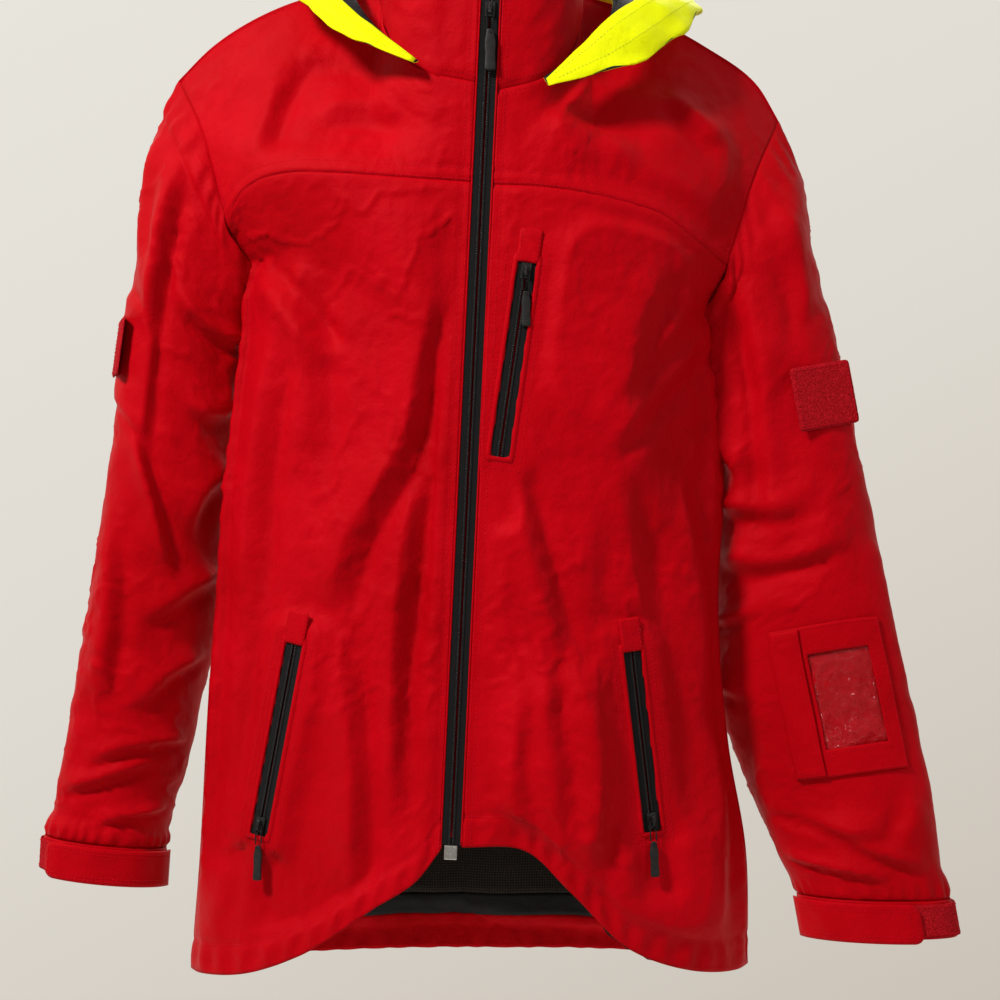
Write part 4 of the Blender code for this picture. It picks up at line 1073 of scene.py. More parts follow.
def zip_frame(name):
    """Centre, unit vectors across (to +X), outward and up the zip, and half the zip's length."""
    tapes = {side: node_points(f"{name}_zip_tape_{side}") for side in SIDES}
    up = joint_axis(f"{name}_slide")
    both = np.concatenate(list(tapes.values()))
    centre = (both.max(0) + both.min(0)) / 2
    across = tapes["left"].mean(0) - tapes["right"].mean(0)
    across -= up * (across @ up)
    across /= np.linalg.norm(across)
    out = np.cross(across, up)
    if out[1] > 0:
        out = -out
    centre = np.array([(both @ a).min() + (both @ a).max() for a in (across, out, up)]) / 2
    centre = centre[0] * across + centre[1] * out + centre[2] * up
    half = ((both @ up).max() - (both @ up).min()) / 2
    return {"centre": centre, "across": across, "out": out, "up": up, "half": half}


FRAMES = {name: zip_frame(name) for name in ZIPS}


def local(points, place):
    off = points - place["centre"]
    return off @ place["across"], off @ place["out"], off @ place["up"]


def to_world(x, y, z, place):
    x, y, z = (np.asarray(a, float)[..., None] for a in np.broadcast_arrays(x, y, z))
    return place["centre"] + x * place["across"] + y * place["out"] + z * place["up"]


def near_zip(grid, place, inner, reach):
    """1 within inner of the zip's slot, falling to 0 at reach beyond it."""
    x, _, z = local(grid, place)
    off = np.hypot(np.clip(np.abs(x) - SLOT_HALF, 0, None), np.clip(np.abs(z) - place["half"], 0, None))
    return 1 - smooth_step(off, inner, inner + reach)


def under_pull(grid, place):
    """1 where a zip's pull hangs below its slot with the slider run down, falling to 0 round it."""
    x, _, z = local(grid, place)
    beyond = np.hypot(np.clip(np.abs(x) - 9 * MM, 0, None), np.clip(-z - place["half"] - PULL_ROOM, 0, None))
    return (1 - smooth_step(beyond, 0.0, 22 * MM)) * smooth_step(-z, 0.0, place["half"])


def lay_on_zip(grid, place, dent=0.0):
    """The cloth round a zip lies in the zip's plane; behind its tapes it steps back by dent."""
    x, y, z = local(grid, place)
    weight = near_zip(grid, place, 6 * MM, 26 * MM)
    below = under_pull(grid, place)
    low = np.minimum(ZIP_LEVEL - y, 0.0) * below
    grid = grid + np.where(weight > below, (ZIP_LEVEL - y) * weight, low)[..., None] * place["out"]
    if dent:
        within = (1 - smooth_step(np.abs(x), SLOT_HALF - 3.2 * MM, SLOT_HALF - 0.2 * MM))
        within = within * (1 - smooth_step(np.abs(z), place["half"] - 3 * MM, place["half"]))
        grid = grid - (dent * within)[..., None] * place["out"]
    return grid


def make_teeth(name):
    """The coil's loops down both sides of the centre line, inside the slider's path."""
    place = FRAMES[name]
    count = int(2 * place["half"] / TOOTH_PITCH)
    z = -place["half"] + (np.arange(count) + 0.5) * TOOTH_PITCH
    shape = [(0.9, 0.35), (1.25, 0.95), (2.0, 1.0), (2.55, 0.35)]
    angle = ring_angles(6)
    points, faces, start = [], [], 0
    for sign in (-1, 1):
        shift = 0.25 * TOOTH_PITCH * sign
        rings = []
        for x, lift in shape:
            y = (0.55 + 0.5 * lift) * MM + 0.42 * MM * np.sin(angle) * 0.7
            zz = z[:, None] + shift + 0.62 * MM * np.cos(angle)[None]
            rings.append(to_world(np.full_like(zz, sign * x * MM), np.broadcast_to(y, zz.shape), zz, place))
        block = np.stack(rings, 1)
        ids = start + np.arange(block[..., 0].size).reshape(block.shape[:3])
        start += ids.size
        faces += bar_faces(ids)
        points.append(block.reshape(-1, 3))
    ob = new_object(f"{name}_zip_coil", np.concatenate(points), faces, LOOKS["teeth"])
    recalculate(ob)
    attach(ob, "jacket_body")


def make_welt(name):
    """The turned edge of the cloth round a pocket zip, as a narrow raised fold."""
    place = FRAMES[name]
    x0, z0 = SLOT_HALF + 1.2 * MM, place["half"] + 1.2 * MM
    corner = 1.5 * MM
    route = []
    for cx, cz, start in ((1, 1, 0), (-1, 1, 90), (-1, -1, 180), (1, -1, 270)):
        for step in np.radians(np.linspace(start, start + 90, 5)):
            route.append((cx * (x0 - corner) + corner * math.cos(step),
                          cz * (z0 - corner) + corner * math.sin(step)))
    route = np.array(route + route[:1])
    flat = np.concatenate([route, np.zeros((len(route), 1))], 1)
    flat = resample(flat, 3 * MM)
    outward_dir = np.stack([np.sign(flat[:, 0]) * (np.abs(flat[:, 0]) > x0 - 1.2 * MM),
                            np.sign(flat[:, 1]) * (np.abs(flat[:, 1]) > z0 - 1.2 * MM)], 1)
    profile = [(-1.5, -0.6), (-1.6, 0.5), (-0.9, 1.25), (0.2, 1.30), (1.4, 0.95), (2.6, 0.35), (2.8, -0.4)]
    rings = np.stack([to_world(flat[:, 0] + outward_dir[:, 0] * a * MM, 1.0 * MM + b * MM,
                               flat[:, 1] + outward_dir[:, 1] * a * MM, place) for a, b in profile], 1)
    rings = np.concatenate([rings, rings[:1]], 0)
    ob = loft(f"{name}_zip_welt", rings, LOOKS["red_near"], capped=False)
    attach(ob, "jacket_body")


def own_frame(points, up):
    """The frame of a small part from its own points: centre, across, out, up and half sizes."""
    flat = points - points.mean(0)
    flat = flat - np.outer(flat @ up, up)
    _, _, axes = np.linalg.svd(flat, full_matrices=False)
    across = axes[0]
    if across[0] < 0:
        across = -across
    out = np.cross(across, up)
    if out[1] > 0:
        out = -out
    spread = [((points @ a).min(), (points @ a).max()) for a in (across, out, up)]
    centre = sum((low + high) / 2 * a for (low, high), a in zip(spread, (across, out, up)))
    return {"centre": centre, "across": across, "out": out, "up": up,
            "size": [(high - low) / 2 for low, high in spread]}


def long_axis(points):
    _, _, axes = np.linalg.svd(points - points.mean(0), full_matrices=False)
    return axes[0] if axes[0][2] > 0 else -axes[0]


def make_grip(name):
    """A moulded pull: waisted at the top, ribbed where it is held, with a rounded end."""
    node = f"{name}_zip_grip"
    points = node_points(node)
    place = own_frame(points, long_axis(points))
    wide, deep, high = place["size"]
    angle = ring_angles(20)
    rings = []
    for t in np.linspace(0, 1, 61):
        z = high * (1 - 2 * t)
        width = wide * (0.62 + 0.38 * smooth_step(t, 0.0, 0.35))
        width *= 1 - 0.10 * smooth_step(t, 0.35, 0.6) * (1 - smooth_step(t, 0.6, 0.9))
        end = min(1.0, math.sqrt(max(1e-4, 1 - (max(0.0, abs(2 * t - 1) - 0.90) / 0.10) ** 2)))
        held = smooth_step(t, 0.30, 0.36) * (1 - smooth_step(t, 0.82, 0.88))
        rib = 1 - 0.13 * held * (0.5 + 0.5 * math.cos(FULL_TURN * (t - 0.3) / 0.058))
        c, s = np.cos(angle), np.sin(angle)
        x = np.sign(c) * np.abs(c) ** 0.55 * width * (0.35 + 0.65 * end)
        y = np.sign(s) * np.abs(s) ** 0.65 * deep * rib * (0.30 + 0.70 * end)
        rings.append(to_world(x, y, z, place))
    ob = loft(f"{name}_pull_grip", rings, LOOKS["rubber"])
    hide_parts(node)
    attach(ob, f"{name}_pull_body")
    eye = to_world(wide * 0.30 * np.cos(angle), deep + 0.12 * MM,
                   high * 0.86 + wide * 0.30 * np.sin(angle), place)
    ring = loft(f"{name}_pull_eyelet", cord_rings(np.concatenate([eye, eye[:2]]), 0.45 * MM, 8),
                LOOKS["rubber"], capped=False)
    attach(ring, f"{name}_pull_body")


def make_link(name):
    """A doubled twisted cord from the slider's bridge to the grip."""
    node = f"{name}_zip_link"
    points = node_points(node)
    place = own_frame(points, long_axis(points))
    wide, _, high = place["size"]
    leg = wide - 0.6 * MM
    top = high - 0.6 * MM
    turn = np.radians(np.linspace(180, 0, 9))
    route = [(-leg, -high), (-leg, 0.0)]
    route += [(leg * math.cos(a), top - 2.2 * MM + 2.2 * MM * math.sin(a)) for a in turn]
    route += [(leg, 0.0), (leg, -high)]
    flat = np.array([(x, 0.0, z) for x, z in route])
    fine = spline(flat)(np.linspace(0, 1, 90))
    path = to_world(fine[:, 0], fine[:, 1], fine[:, 2], place)
    ob = loft(f"{name}_pull_cord", cord_rings(path, 0.56 * MM, 12, 4200.0, 3, 0.08 * MM), LOOKS["cord"])
    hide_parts(node)
    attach(ob, f"{name}_pull_body")


def polish(node, look, bevel=0.25 * MM):
    """A CAD node that stays: welded, with softened edges and its own finish."""
    ob = frame["nodes"][node]
    ob.data.materials.clear()
    ob.data.materials.append(look)
    weld_step = ob.modifiers.new("Weld", "WELD")
    weld_step.merge_threshold = 1e-6
    if bevel:
        soft = ob.modifiers.new("Edges", "BEVEL")
        soft.width = bevel
        soft.segments = 2
        soft.limit_method = "ANGLE"


def make_zips():
    for name in ZIPS:
        make_teeth(name)
        make_grip(name)
        make_link(name)
        polish(f"{name}_zip_slider", LOOKS["metal"])
        for side in SIDES:
            polish(f"{name}_zip_tape_{side}", LOOKS["tape"], 0.0)
        if name != "main":
            make_welt(name)
            make_garage(name)
    polish("main_zip_box", LOOKS["silver"], 0.35 * MM)


def make_garage(name):
    """The doubled cloth tab over a pocket zip's upper end, edge-stitched."""
    node = f"{name}_zip_garage"
    points = node_points(node)
    place = own_frame(points, FRAMES[name]["up"])
    wide, deep, high = place["size"]
    u, v = np.meshgrid(np.linspace(-1, 1, 15), np.linspace(-1, 1, 21))
    squeeze = 1 - 0.16 * np.clip(np.abs(v) - 0.82, 0, None) / 0.18
    bulge = (1 - u**6) * (1 - v**8)
    y = deep * (-0.9 + 1.7 * bulge) + 0.25 * MM * np.sin(u * 5 + v * 4) * bulge
    grid = to_world(u * wide * squeeze, y, v * high, place)
    behind = place["centre"] - place["out"] * 0.02
    ob = cloth(f"{name}_garage_tab", grid, LOOKS["red"], behind, thickness=0.7 * MM)
    add_sheet(ob, "jacket_body", [node])
    normal = outward(grid, behind)
    t = np.linspace(0.04, 0.96, 30)
    paths = [grid_path(grid, normal, 0.12, t), grid_path(grid, normal, 0.88, t),
             grid_path(grid, normal, np.linspace(0.12, 0.88, 20), 0.94),
             grid_path(grid, normal, np.linspace(0.12, 0.88, 20), 0.07)]
    stitch_paths(f"{name}_garage_stitches", paths, LOOKS["thread"], "jacket_body", 0.1 * MM)


# ---------------------------------------------------------------- the jacket's cloth pieces


def add_sheet(ob, body, replaces=()):
    """Hides the CAD parts that a cloth piece stands for, and attaches the piece to the body that holds it."""
    if replaces:
        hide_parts(*replaces)
    if body:
        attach(ob, body)
    return ob


def settled_torso():
    cut = torso_grids()
    grids = fold_torso({name: grid.copy() for name, grid in cut.items()})
    for name, side in ZIP_SIDE.items():
        panel = "front_panel_" + side
        grids[panel] = lay_on_zip(grids[panel], FRAMES[name])
    points, quads, maps = weld(grids)
    pins = np.zeros(len(points))
    for name, grid in grids.items():
        rows, columns = shares_of(grid)
        hold = np.zeros(grid.shape[:2])
        if name.startswith("front"):
            hold = np.maximum(hold, 1 - smooth_step(np.abs(columns), 0.03, 0.12))
        if "yoke" in name:
            hold = np.maximum(hold, smooth_step(rows, 0.55, 0.85) + 0 * columns)
            hold = np.maximum(hold, 1 - smooth_step(rows, 0.04, 0.15) + 0 * columns)
            hold = np.maximum(hold, smooth_step(columns, 0.88, 0.97) + 0 * rows)
            if name == "back_yoke":
                hold = np.maximum(hold, 1 - smooth_step(columns, 0.02, 0.08) + 0 * rows)
        else:
            ends = smooth_step(columns, 0.90, 0.99)
            if name == "back_panel":
                ends = np.maximum(ends, 1 - smooth_step(columns, 0.01, 0.06))
            hold = np.maximum(hold, ends * (0.8 + 0.2 * smooth_step(rows, 0.78, SIDE_SHARE)))
            hold = np.maximum(hold, 0.8 * (1 - smooth_step(rows, 0.0, 0.05)) + 0 * columns)
            hold = np.maximum(hold, smooth_step(rows, 0.96, 0.99) + 0 * columns)
        for zip_name in zips_on(name):
            hold = np.maximum(hold, near_zip(grid, FRAMES[zip_name], 6 * MM, 10 * MM))
        np.maximum.at(pins, maps[name].reshape(-1), np.clip(hold, 0, 1).reshape(-1))
    points = settle(points, quads, pins, TORSO_GROW, TORSO_ROOM, TORSO_INSIDE, TORSO_MOST_MOVE)
    return cut, {name: points[ids] for name, ids in maps.items()}


def settled_sleeve(side):
    cut = sleeve_rings(side, np.linspace(0, 1, SLEEVE_ROWS + 1),
                       ring_angles(SLEEVE_AROUND))
    grid = sleeve_grid(side)
    points, quads, maps = weld({"sleeve": grid}, ("sleeve",))
    rows = np.linspace(0, 1, grid.shape[0])[:, None] + np.zeros(SLEEVE_AROUND)[None]
    hold = np.maximum(1 - smooth_step(rows, 0.02, 0.06), smooth_step(rows, 0.965, 0.99))
    degrees = np.linspace(0, 360, SLEEVE_AROUND, endpoint=False)[None]
    hold = np.maximum(hold, held(side, degrees, rows, 24, 0.04))
    pins = np.zeros(len(points))
    np.maximum.at(pins, maps["sleeve"].reshape(-1), hold.reshape(-1))
    middle = grid.mean(axis=(0, 1))
    points = settle(points, quads, pins, SLEEVE_GROW, SLEEVE_ROOM, middle, SLEEVE_MOST_MOVE)
    return cut, points[maps["sleeve"]]


def dip(grid, normal, across, depth, width):
    """Presses a seam's groove into a grid: across is the distance from the seam at each point."""
    return grid - (depth * np.exp(-((across / width) ** 2)))[..., None] * normal


def finish_torso(grids):
    """Finer grids with seam grooves, a puckered hem and stepped-back zip slots."""
    done = {}
    for name, grid in grids.items():
        grid = refine(grid)
        normal = outward(grid, TORSO_INSIDE)
        across, down = grid_lengths(grid)
        to_top = down[-1:] - down
        to_outer = across[:, -1:] - across
        if "yoke" in name:
            grid = dip(grid, normal, down, 1.3 * MM, 3.2 * MM)
            grid = dip(grid, normal, down - 12 * MM, 0.7 * MM, 2.6 * MM)
            grid = dip(grid, normal, to_outer, 0.5 * MM, 3.0 * MM)
            grid = dip(grid, normal, to_top, 1.2 * MM, 3.5 * MM)
            if name == "back_yoke":
                grid = dip(grid, normal, across, 0.5 * MM, 3.0 * MM)
        else:
            grid = dip(grid, normal, to_top, 1.3 * MM, 3.2 * MM)
            grid = dip(grid, normal, to_outer, 0.6 * MM, 3.0 * MM)
            if name == "back_panel":
                grid = dip(grid, normal, across, 0.6 * MM, 3.0 * MM)
            grid = dip(grid, normal, down - 26 * MM, 1.1 * MM, 3.0 * MM)
            near_hem = np.exp(-(((down - 14 * MM) / (11 * MM)) ** 2))
            pucker = 1.3 * MM * np.sin(across * FULL_TURN / 0.023 + 2.2 * waves(grid, 31, 0.06))
            near_seam = np.exp(-((to_outer / (14 * MM)) ** 2)) * smooth_step(down, 0.03, 0.08)
            pull = 0.9 * MM * np.sin(down * FULL_TURN / 0.030 + 2.5 * waves(grid, 37, 0.08))
            pull = pull * near_seam * smooth_step(to_outer, 0.5 * MM, 6 * MM)
            grid = grid + (pucker * near_hem * smooth_step(down, 0.0, 0.004) + pull)[..., None] * normal
        if name.startswith("front"):
            grid = dip(grid, normal, across - 7.5 * MM, 0.7 * MM, 2.2 * MM)
        for zip_name in zips_on(name):
            grid = lay_on_zip(grid, FRAMES[zip_name], SLOT_DENT)
        fine = 0.6 * MM * waves(grid, 77, 0.030, 3) + 0.25 * MM * waves(grid, 78, 0.011, 2)
        fine = fine + 1.8 * MM * creases(grid, 61, 0.10) + 1.1 * MM * creases(grid, 71, 0.055)
        calm = smooth_step(np.minimum(down, to_top), 0.0, 0.01) * smooth_step(to_outer, 0.0, 0.008)
        if name.startswith("front"):
            calm = calm * smooth_step(across, 0.006, 0.02)
        else:
            calm = calm * smooth_step(across, 0.0, 0.008)
        for zip_name in zips_on(name):
            calm = calm * (1 - near_zip(grid, FRAMES[zip_name], 4 * MM, 14 * MM))
            calm = calm * (1 - under_pull(grid, FRAMES[zip_name]))
        done[name] = grid + (fine * calm)[..., None] * normal
    return done


def make_torso():
    cut, grids = settled_torso()
    fine = finish_torso(grids)
    for name, grid in fine.items():
        title = (name.replace("front_panel", "cloth_front").replace("front_yoke", "cloth_yoke")
                 .replace("back_panel", "cloth_back").replace("back_yoke", "cloth_yoke_back"))
        ob = cloth(title, grid, LOOKS["red"], TORSO_INSIDE)
        if name.startswith("front_panel"):
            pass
        elif name == "back_panel":
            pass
        else:
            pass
        add_sheet(ob, "jacket_body", [name])
    return fine


def row_path(grid, normal, distance, from_low=True, u=(0.0, 1.0), count=320):
    """A path across the columns at one distance from the first or last row."""
    _, down = grid_lengths(grid)
    rows = grid.shape[0] - 1
    us = np.linspace(u[0], u[1], count)
    vs = []
    for value in us:
        column = down[:, min(int(round(value * (grid.shape[1] - 1))), grid.shape[1] - 1)]
        far = distance if from_low else column[-1] - distance
        vs.append(np.interp(far, column, np.arange(rows + 1)) / rows)
    vs = np.convolve(np.pad(vs, 4, mode="edge"), np.ones(9) / 9, "valid")
    return grid_path(grid, normal, us, vs)


def column_path(grid, normal, distance, from_first=True, v=(0.0, 1.0), count=320):
    """A path down the rows at one distance from the first or last column."""
    across, _ = grid_lengths(grid)
    columns = grid.shape[1] - 1
    vs = np.linspace(v[0], v[1], count)
    us = []
    for value in vs:
        row = across[min(int(round(value * (grid.shape[0] - 1))), grid.shape[0] - 1)]
        far = distance if from_first else row[-1] - distance
        us.append(np.interp(far, row, np.arange(columns + 1)) / columns)
    us = np.convolve(np.pad(us, 4, mode="edge"), np.ones(9) / 9, "valid")
    return grid_path(grid, normal, us, vs)


def sew_torso(fine):
    normals = {name: outward(grid, TORSO_INSIDE) for name, grid in fine.items()}

    def rows(name, *distances, **more):
        return [row_path(fine[name], normals[name], d * MM, **more) for d in distances]

    def columns(name, *distances, **more):
        return [column_path(fine[name], normals[name], d * MM, **more) for d in distances]

    red, body = LOOKS["thread"], "jacket_body"
    for s in SIDES:
        panel, yoke = f"front_panel_{s}", f"front_yoke_{s}"
        stitch_paths(f"yoke_stitches_{s}", rows(yoke, 2.2, 12.0), red, body, 0.05 * MM)
        stitch_paths(f"hem_stitches_{s}", rows(panel, 26.0), red, body, 0.05 * MM)
        stitch_paths(f"zip_edge_stitches_{s}", columns(panel, 2.2, 7.5) + columns(yoke, 2.2, 7.5),
                     red, body, 0.05 * MM)
        stitch_paths(f"armhole_stitches_{s}", columns(yoke, 4.0, from_first=False)
                     + columns(panel, 4.0, from_first=False, v=(0.87, 1.0), count=60), red, body, 0.05 * MM)
        stitch_paths(f"shoulder_stitches_{s}", rows(yoke, 4.0, from_low=False), red, body, 0.05 * MM)
    stitch_paths("yoke_stitches_back", rows("back_yoke", 2.2, 12.0), red, body, 0.05 * MM)
    stitch_paths("hem_stitches_back", rows("back_panel", 26.0), red, body, 0.05 * MM)
    for name, side in ZIP_SIDE.items():
        sew_round_zip(name, fine[f"front_panel_{side}"])


def sew_round_zip(name, grid):
    """Two rows of topstitching round a pocket zip, laid on the cloth."""
    place = FRAMES[name]
    ids = np.arange(grid[..., 0].size).reshape(grid.shape[:2])
    tree = BVHTree.FromPolygons([Vector(p) for p in grid.reshape(-1, 3)], cells(ids).reshape(-1, 4).tolist())
    paths = []
    for gap in (4.4 * MM, 9.5 * MM):
        x0, z0 = SLOT_HALF + gap, place["half"] + gap
        corners = np.array([(-x0, z0), (-x0, -z0), (x0, -z0), (x0, z0)])
        flat = np.concatenate([np.linspace(corners[i], corners[i + 1], 80)[:-1] for i in range(3)])
        spots, outs = [], []
        for x, z in flat:
            start = Vector(to_world(x, 0.03, z, place))
            hit, normal, _, _ = tree.ray_cast(start, -Vector(place["out"]), 0.08)
            if hit is None:
                continue
            if normal.dot(Vector(place["out"])) < 0:
                normal.negate()
            spots.append(tuple(hit))
            outs.append(tuple(normal))
        paths.append((np.array(spots), np.array(outs)))
    stitch_paths(f"{name}_pocket_stitches", paths, LOOKS["thread"], "jacket_body", 0.05 * MM)


def sleeve_plane(side):
    """Two points along a sleeve's swing: its underarm, and a point SLEEVE_BEND further out, away from the body."""
    tip, under = np.array(SHOULDER_TIP[side]), np.array(UNDERARM[side])
    chord = under - tip
    chord[1] = 0.0
    outwards = np.array((-chord[2], 0.0, chord[0])) * (-1 if side == "right" else 1)
    outwards /= np.linalg.norm(outwards)
    if outwards[0] * SIGN[side] < 0:
        outwards = -outwards
    return tuple(under), tuple(under + outwards * SLEEVE_BEND)


def make_sleeve(side):
    cut, grid = settled_sleeve(side)
    grid = refine(grid, True)
    centre = grid.mean(axis=1, keepdims=True)
    normal = outward(grid, centre, True)
    rows, _ = shares_of(grid)
    dips = (0.4 * MM * np.exp(-((rows * SLEEVE_LENGTH / (3.0 * MM)) ** 2))
            + 1.0 * MM * np.exp(-(((1 - rows) * SLEEVE_LENGTH / (3.4 * MM)) ** 2)))
    angle = ring_angles(grid.shape[1])[None]
    seam = np.abs(angle - SLEEVE_SEAM) * SLEEVE_RADIUS
    dips = dips + 0.9 * MM * np.exp(-((seam / (2.6 * MM)) ** 2))
    ease = 1.0 * MM * np.sin(angle * 21 + 2.0 * np.sin(angle * 3)) * np.exp(-(((rows - 0.03) / 0.028) ** 2))
    gather = 1.5 * MM * np.sin(angle * 26 + 1.7 * np.sin(angle * 5)) * np.exp(-(((1 - rows) / 0.020) ** 2))
    gather = gather * smooth_step(1 - rows, 0.0, 0.008)
    fine = 0.6 * MM * waves(grid, 91, 0.028, 3)
    fine = fine + 1.5 * MM * creases(grid, 101, 0.09) + 0.8 * MM * creases(grid, 111, 0.05)
    calm = smooth_step(rows, 0.0, 0.015) * smooth_step(1 - rows, 0.0, 0.01)
    grid = grid + (ease * smooth_step(rows, 0.0, 0.01) + gather + fine * calm - dips)[..., None] * normal
    allowance = grid[:1] - 6 * MM * unit(grid[2:3] - grid[:1]) - 2.5 * MM * normal[:1]
    grid, centre = np.concatenate([allowance, grid]), np.concatenate([centre[:1], centre])
    ob = cloth(f"cloth_sleeve_{side}", grid, LOOKS["red"], centre, wrap=True)
    add_sheet(ob, None, [f"sleeve_{side}"])
    start, end = sleeve_plane(side)
    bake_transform(ob)


def sleeve_axis(side, station):
    ring = sleeve_rings(side, [min(station, 1.0)], np.array([0.0, math.pi]), 0.001)
    return ring[0].mean(0)


def cuff_height(side):
    return float(np.linalg.norm(CUFF_DROP[side]))


def make_cuff(side):
    body = f"sleeve_{side}_body"
    axis = sleeve_axis(side, 1.0) + np.array(CUFF_DROP[side]) / 2
    turn = ring_angles(120)
    levels = np.linspace(0.0, 1.0, 19)
    grid = sleeve_rings(side, np.ones(19), turn, 0.0006) + levels[:, None, None] * np.array(CUFF_DROP[side])
    normal = outward(grid, axis, True)
    soft = 0.9 * MM * np.sin(turn * 9)[None] * np.sin(levels * math.pi)[:, None]
    soft = soft + 0.5 * MM * waves(grid, 51, 0.03)
    edge = -0.8 * MM * (np.exp(-((levels / 0.10) ** 2)) + np.exp(-(((1 - levels) / 0.08) ** 2)))[:, None]
    grid = grid + (soft + edge)[..., None] * normal
    band = cloth(f"cloth_cuff_{side}", grid, LOOKS["red"], axis, wrap=True, thickness=1.2 * MM)
    add_sheet(band, body, [f"cuff_band_{side}"])
    paths = [grid_path(closed_grid(grid), closed_grid(normal), np.linspace(0, 1, 400), v)
             for v in (0.10, 0.90)]
    stitch_paths(f"cuff_stitches_{side}", paths, LOOKS["thread"], body, 0.1 * MM)
    make_cuff_strip(side, body, axis)
    make_cuff_tab(side, axis)


def cuff_patch(side, angles, span, outside, columns, rows, round_from=None):
    """A grid on the cuff's face; round_from rounds the corners of its first end."""
    turn = np.radians(np.linspace(angles[0], angles[1], columns + 1))
    ring = sleeve_rings(side, [1.0], turn, outside)[0]
    far = np.concatenate([[0], np.cumsum(np.linalg.norm(np.diff(ring, axis=0), axis=1))])
    height = cuff_height(side) * (span[1] - span[0])
    levels = np.linspace(-0.5, 0.5, rows + 1)
    squeeze = np.ones(columns + 1)
    if round_from:
        inside = np.clip((round_from - far) / round_from, 0, 1)
        squeeze = (height - 2 * round_from * (1 - np.sqrt(1 - inside**2))) / height
    middle = (span[0] + span[1]) / 2
    where = middle + levels[:, None] * (span[1] - span[0]) * squeeze[None]
    return ring[None] + where[..., None] * np.array(CUFF_DROP[side])


def make_cuff_strip(side, body, axis):
    grid = cuff_patch(side, (-30, 128), (0.08, 0.94), 0.0030, 60, 12)
    normal = outward(grid, axis)
    rng = np.random.default_rng(7)
    grid = grid + (0.28 * MM * rng.uniform(-1, 1, grid.shape[:2]))[..., None] * normal
    ob = cloth(f"cloth_loop_strip_{side}", grid, LOOKS["pile"], axis, thickness=1.0 * MM)
    add_sheet(ob, body, [f"cuff_loop_strip_{side}"])
    paths = [grid_path(grid, normal, np.linspace(0.01, 0.99, 200), v) for v in (0.08, 0.92)]
    stitch_paths(f"loop_strip_stitches_{side}", paths, LOOKS["thread"], body, 0.25 * MM)


def make_cuff_tab(side, axis):
    angles = {"right": (34, 172), "left": (62, 172)}[side]
    tab_body = f"cuff_tab_{side}_body"
    grid = cuff_patch(side, angles, (0.04, 1.10), 0.0050, 56, 14, round_from=0.010)
    normal = outward(grid, axis)
    v, u = shares_of(grid)
    border = np.minimum(np.minimum(u * 6, (1 - u) * 6), np.minimum(v, 1 - v) * 2.4)
    plump = 0.8 * MM * smooth_step(border, 0.0, 0.30) - 0.5 * MM * np.exp(-(((border - 0.42) / 0.07) ** 2))
    ripple = 0.5 * MM * np.sin(u * 22) * smooth_step(border, 0.1, 0.5)
    grid = grid + (plump + ripple)[..., None] * normal
    ob = cloth(f"cloth_cuff_tab_{side}", grid, LOOKS["red"], axis, thickness=1.5 * MM)
    add_sheet(ob, tab_body, [f"cuff_tab_{side}"])
    paths = []
    for inset in (0.10, 0.19):
        us, vs = inset * 0.42, inset
        paths += [grid_path(grid, normal, np.linspace(us, 1 - us, 200), vs),
                  grid_path(grid, normal, np.linspace(us, 1 - us, 200), 1 - vs),
                  grid_path(grid, normal, us, np.linspace(vs, 1 - vs, 60))]
    stitch_paths(f"cuff_tab_stitches_{side}", paths, LOOKS["thread"], tab_body, 0.1 * MM)


BADGE = {"right": (0.36, 12, (0.058, 0.052)), "left": (0.325, 55, (0.058, 0.056))}


def make_badge(side):
    """A plain square of loop pile, edge-stitched, with nothing on it."""
    body = f"sleeve_{side}_body"
    node = f"badge_patch_{side}"
    points = node_points(node)
    station, angle, (wide, high) = BADGE[side]
    turn = math.radians(angle)
    up = (sleeve_rings(side, [station - 0.03], np.array([turn]), 1e-6)
          - sleeve_rings(side, [station + 0.03], np.array([turn]), 1e-6))[0, 0]
    place = own_frame(points, up / np.linalg.norm(up))
    out = points.mean(0) - sleeve_axis(side, station)
    if place["out"] @ out < 0:
        place["out"] = -place["out"]
    if side == "right":
        place["across"] = np.cross(place["up"], place["out"])
    u, v = np.meshgrid(np.linspace(-1, 1, 49), np.linspace(-1, 1, 45))
    corner = 0.12
    edge_u, edge_v = (np.clip(np.abs(w) - 1 + corner, 0, 1) / corner for w in (u, v))
    pull = 1 - corner * (1 - 0.7071) * np.minimum(edge_u, edge_v)
    rng = np.random.default_rng(3 if side == "right" else 4)
    border = np.maximum(np.abs(u), np.abs(v))
    y = place["size"][1] * (0.75 - 1.3 * smooth_step(border, 0.90, 1.0))
    y = y + 0.22 * MM * rng.uniform(-1, 1, u.shape)
    grid = to_world(u * wide / 2 * pull, y, v * high / 2 * pull, place)
    inside = place["centre"] - place["out"] * 0.03
    ob = cloth(f"cloth_badge_{side}", grid, LOOKS["pile"], inside, thickness=0.8 * MM)
    add_sheet(ob, body, [node])
    normal = outward(grid, inside)
    t = np.linspace(0.05, 0.95, 60)
    paths = [grid_path(grid, normal, t, 0.05), grid_path(grid, normal, t, 0.95),
             grid_path(grid, normal, 0.05, t), grid_path(grid, normal, 0.95, t)]
    stitch_paths(f"badge_stitches_{side}", paths, LOOKS["thread"], body, 0.2 * MM)


# The card pocket's corners: degrees at the top and bottom, then stations at the outer and inner
# sides. Its window and its flap take shares of its width, from the outer side, and of its height.
ID_POCKET = {"outer": (44, 44), "inner": (113, 119), "top": (0.628, 0.582), "bottom": (0.824, 0.807)}
ID_WINDOW = ((0.17, 0.70), (0.185, 0.815))
ID_FLAP = ((0.745, 0.98), (0.01, 0.99))


def share(pair, t):
    return pair[0] + (pair[1] - pair[0]) * t


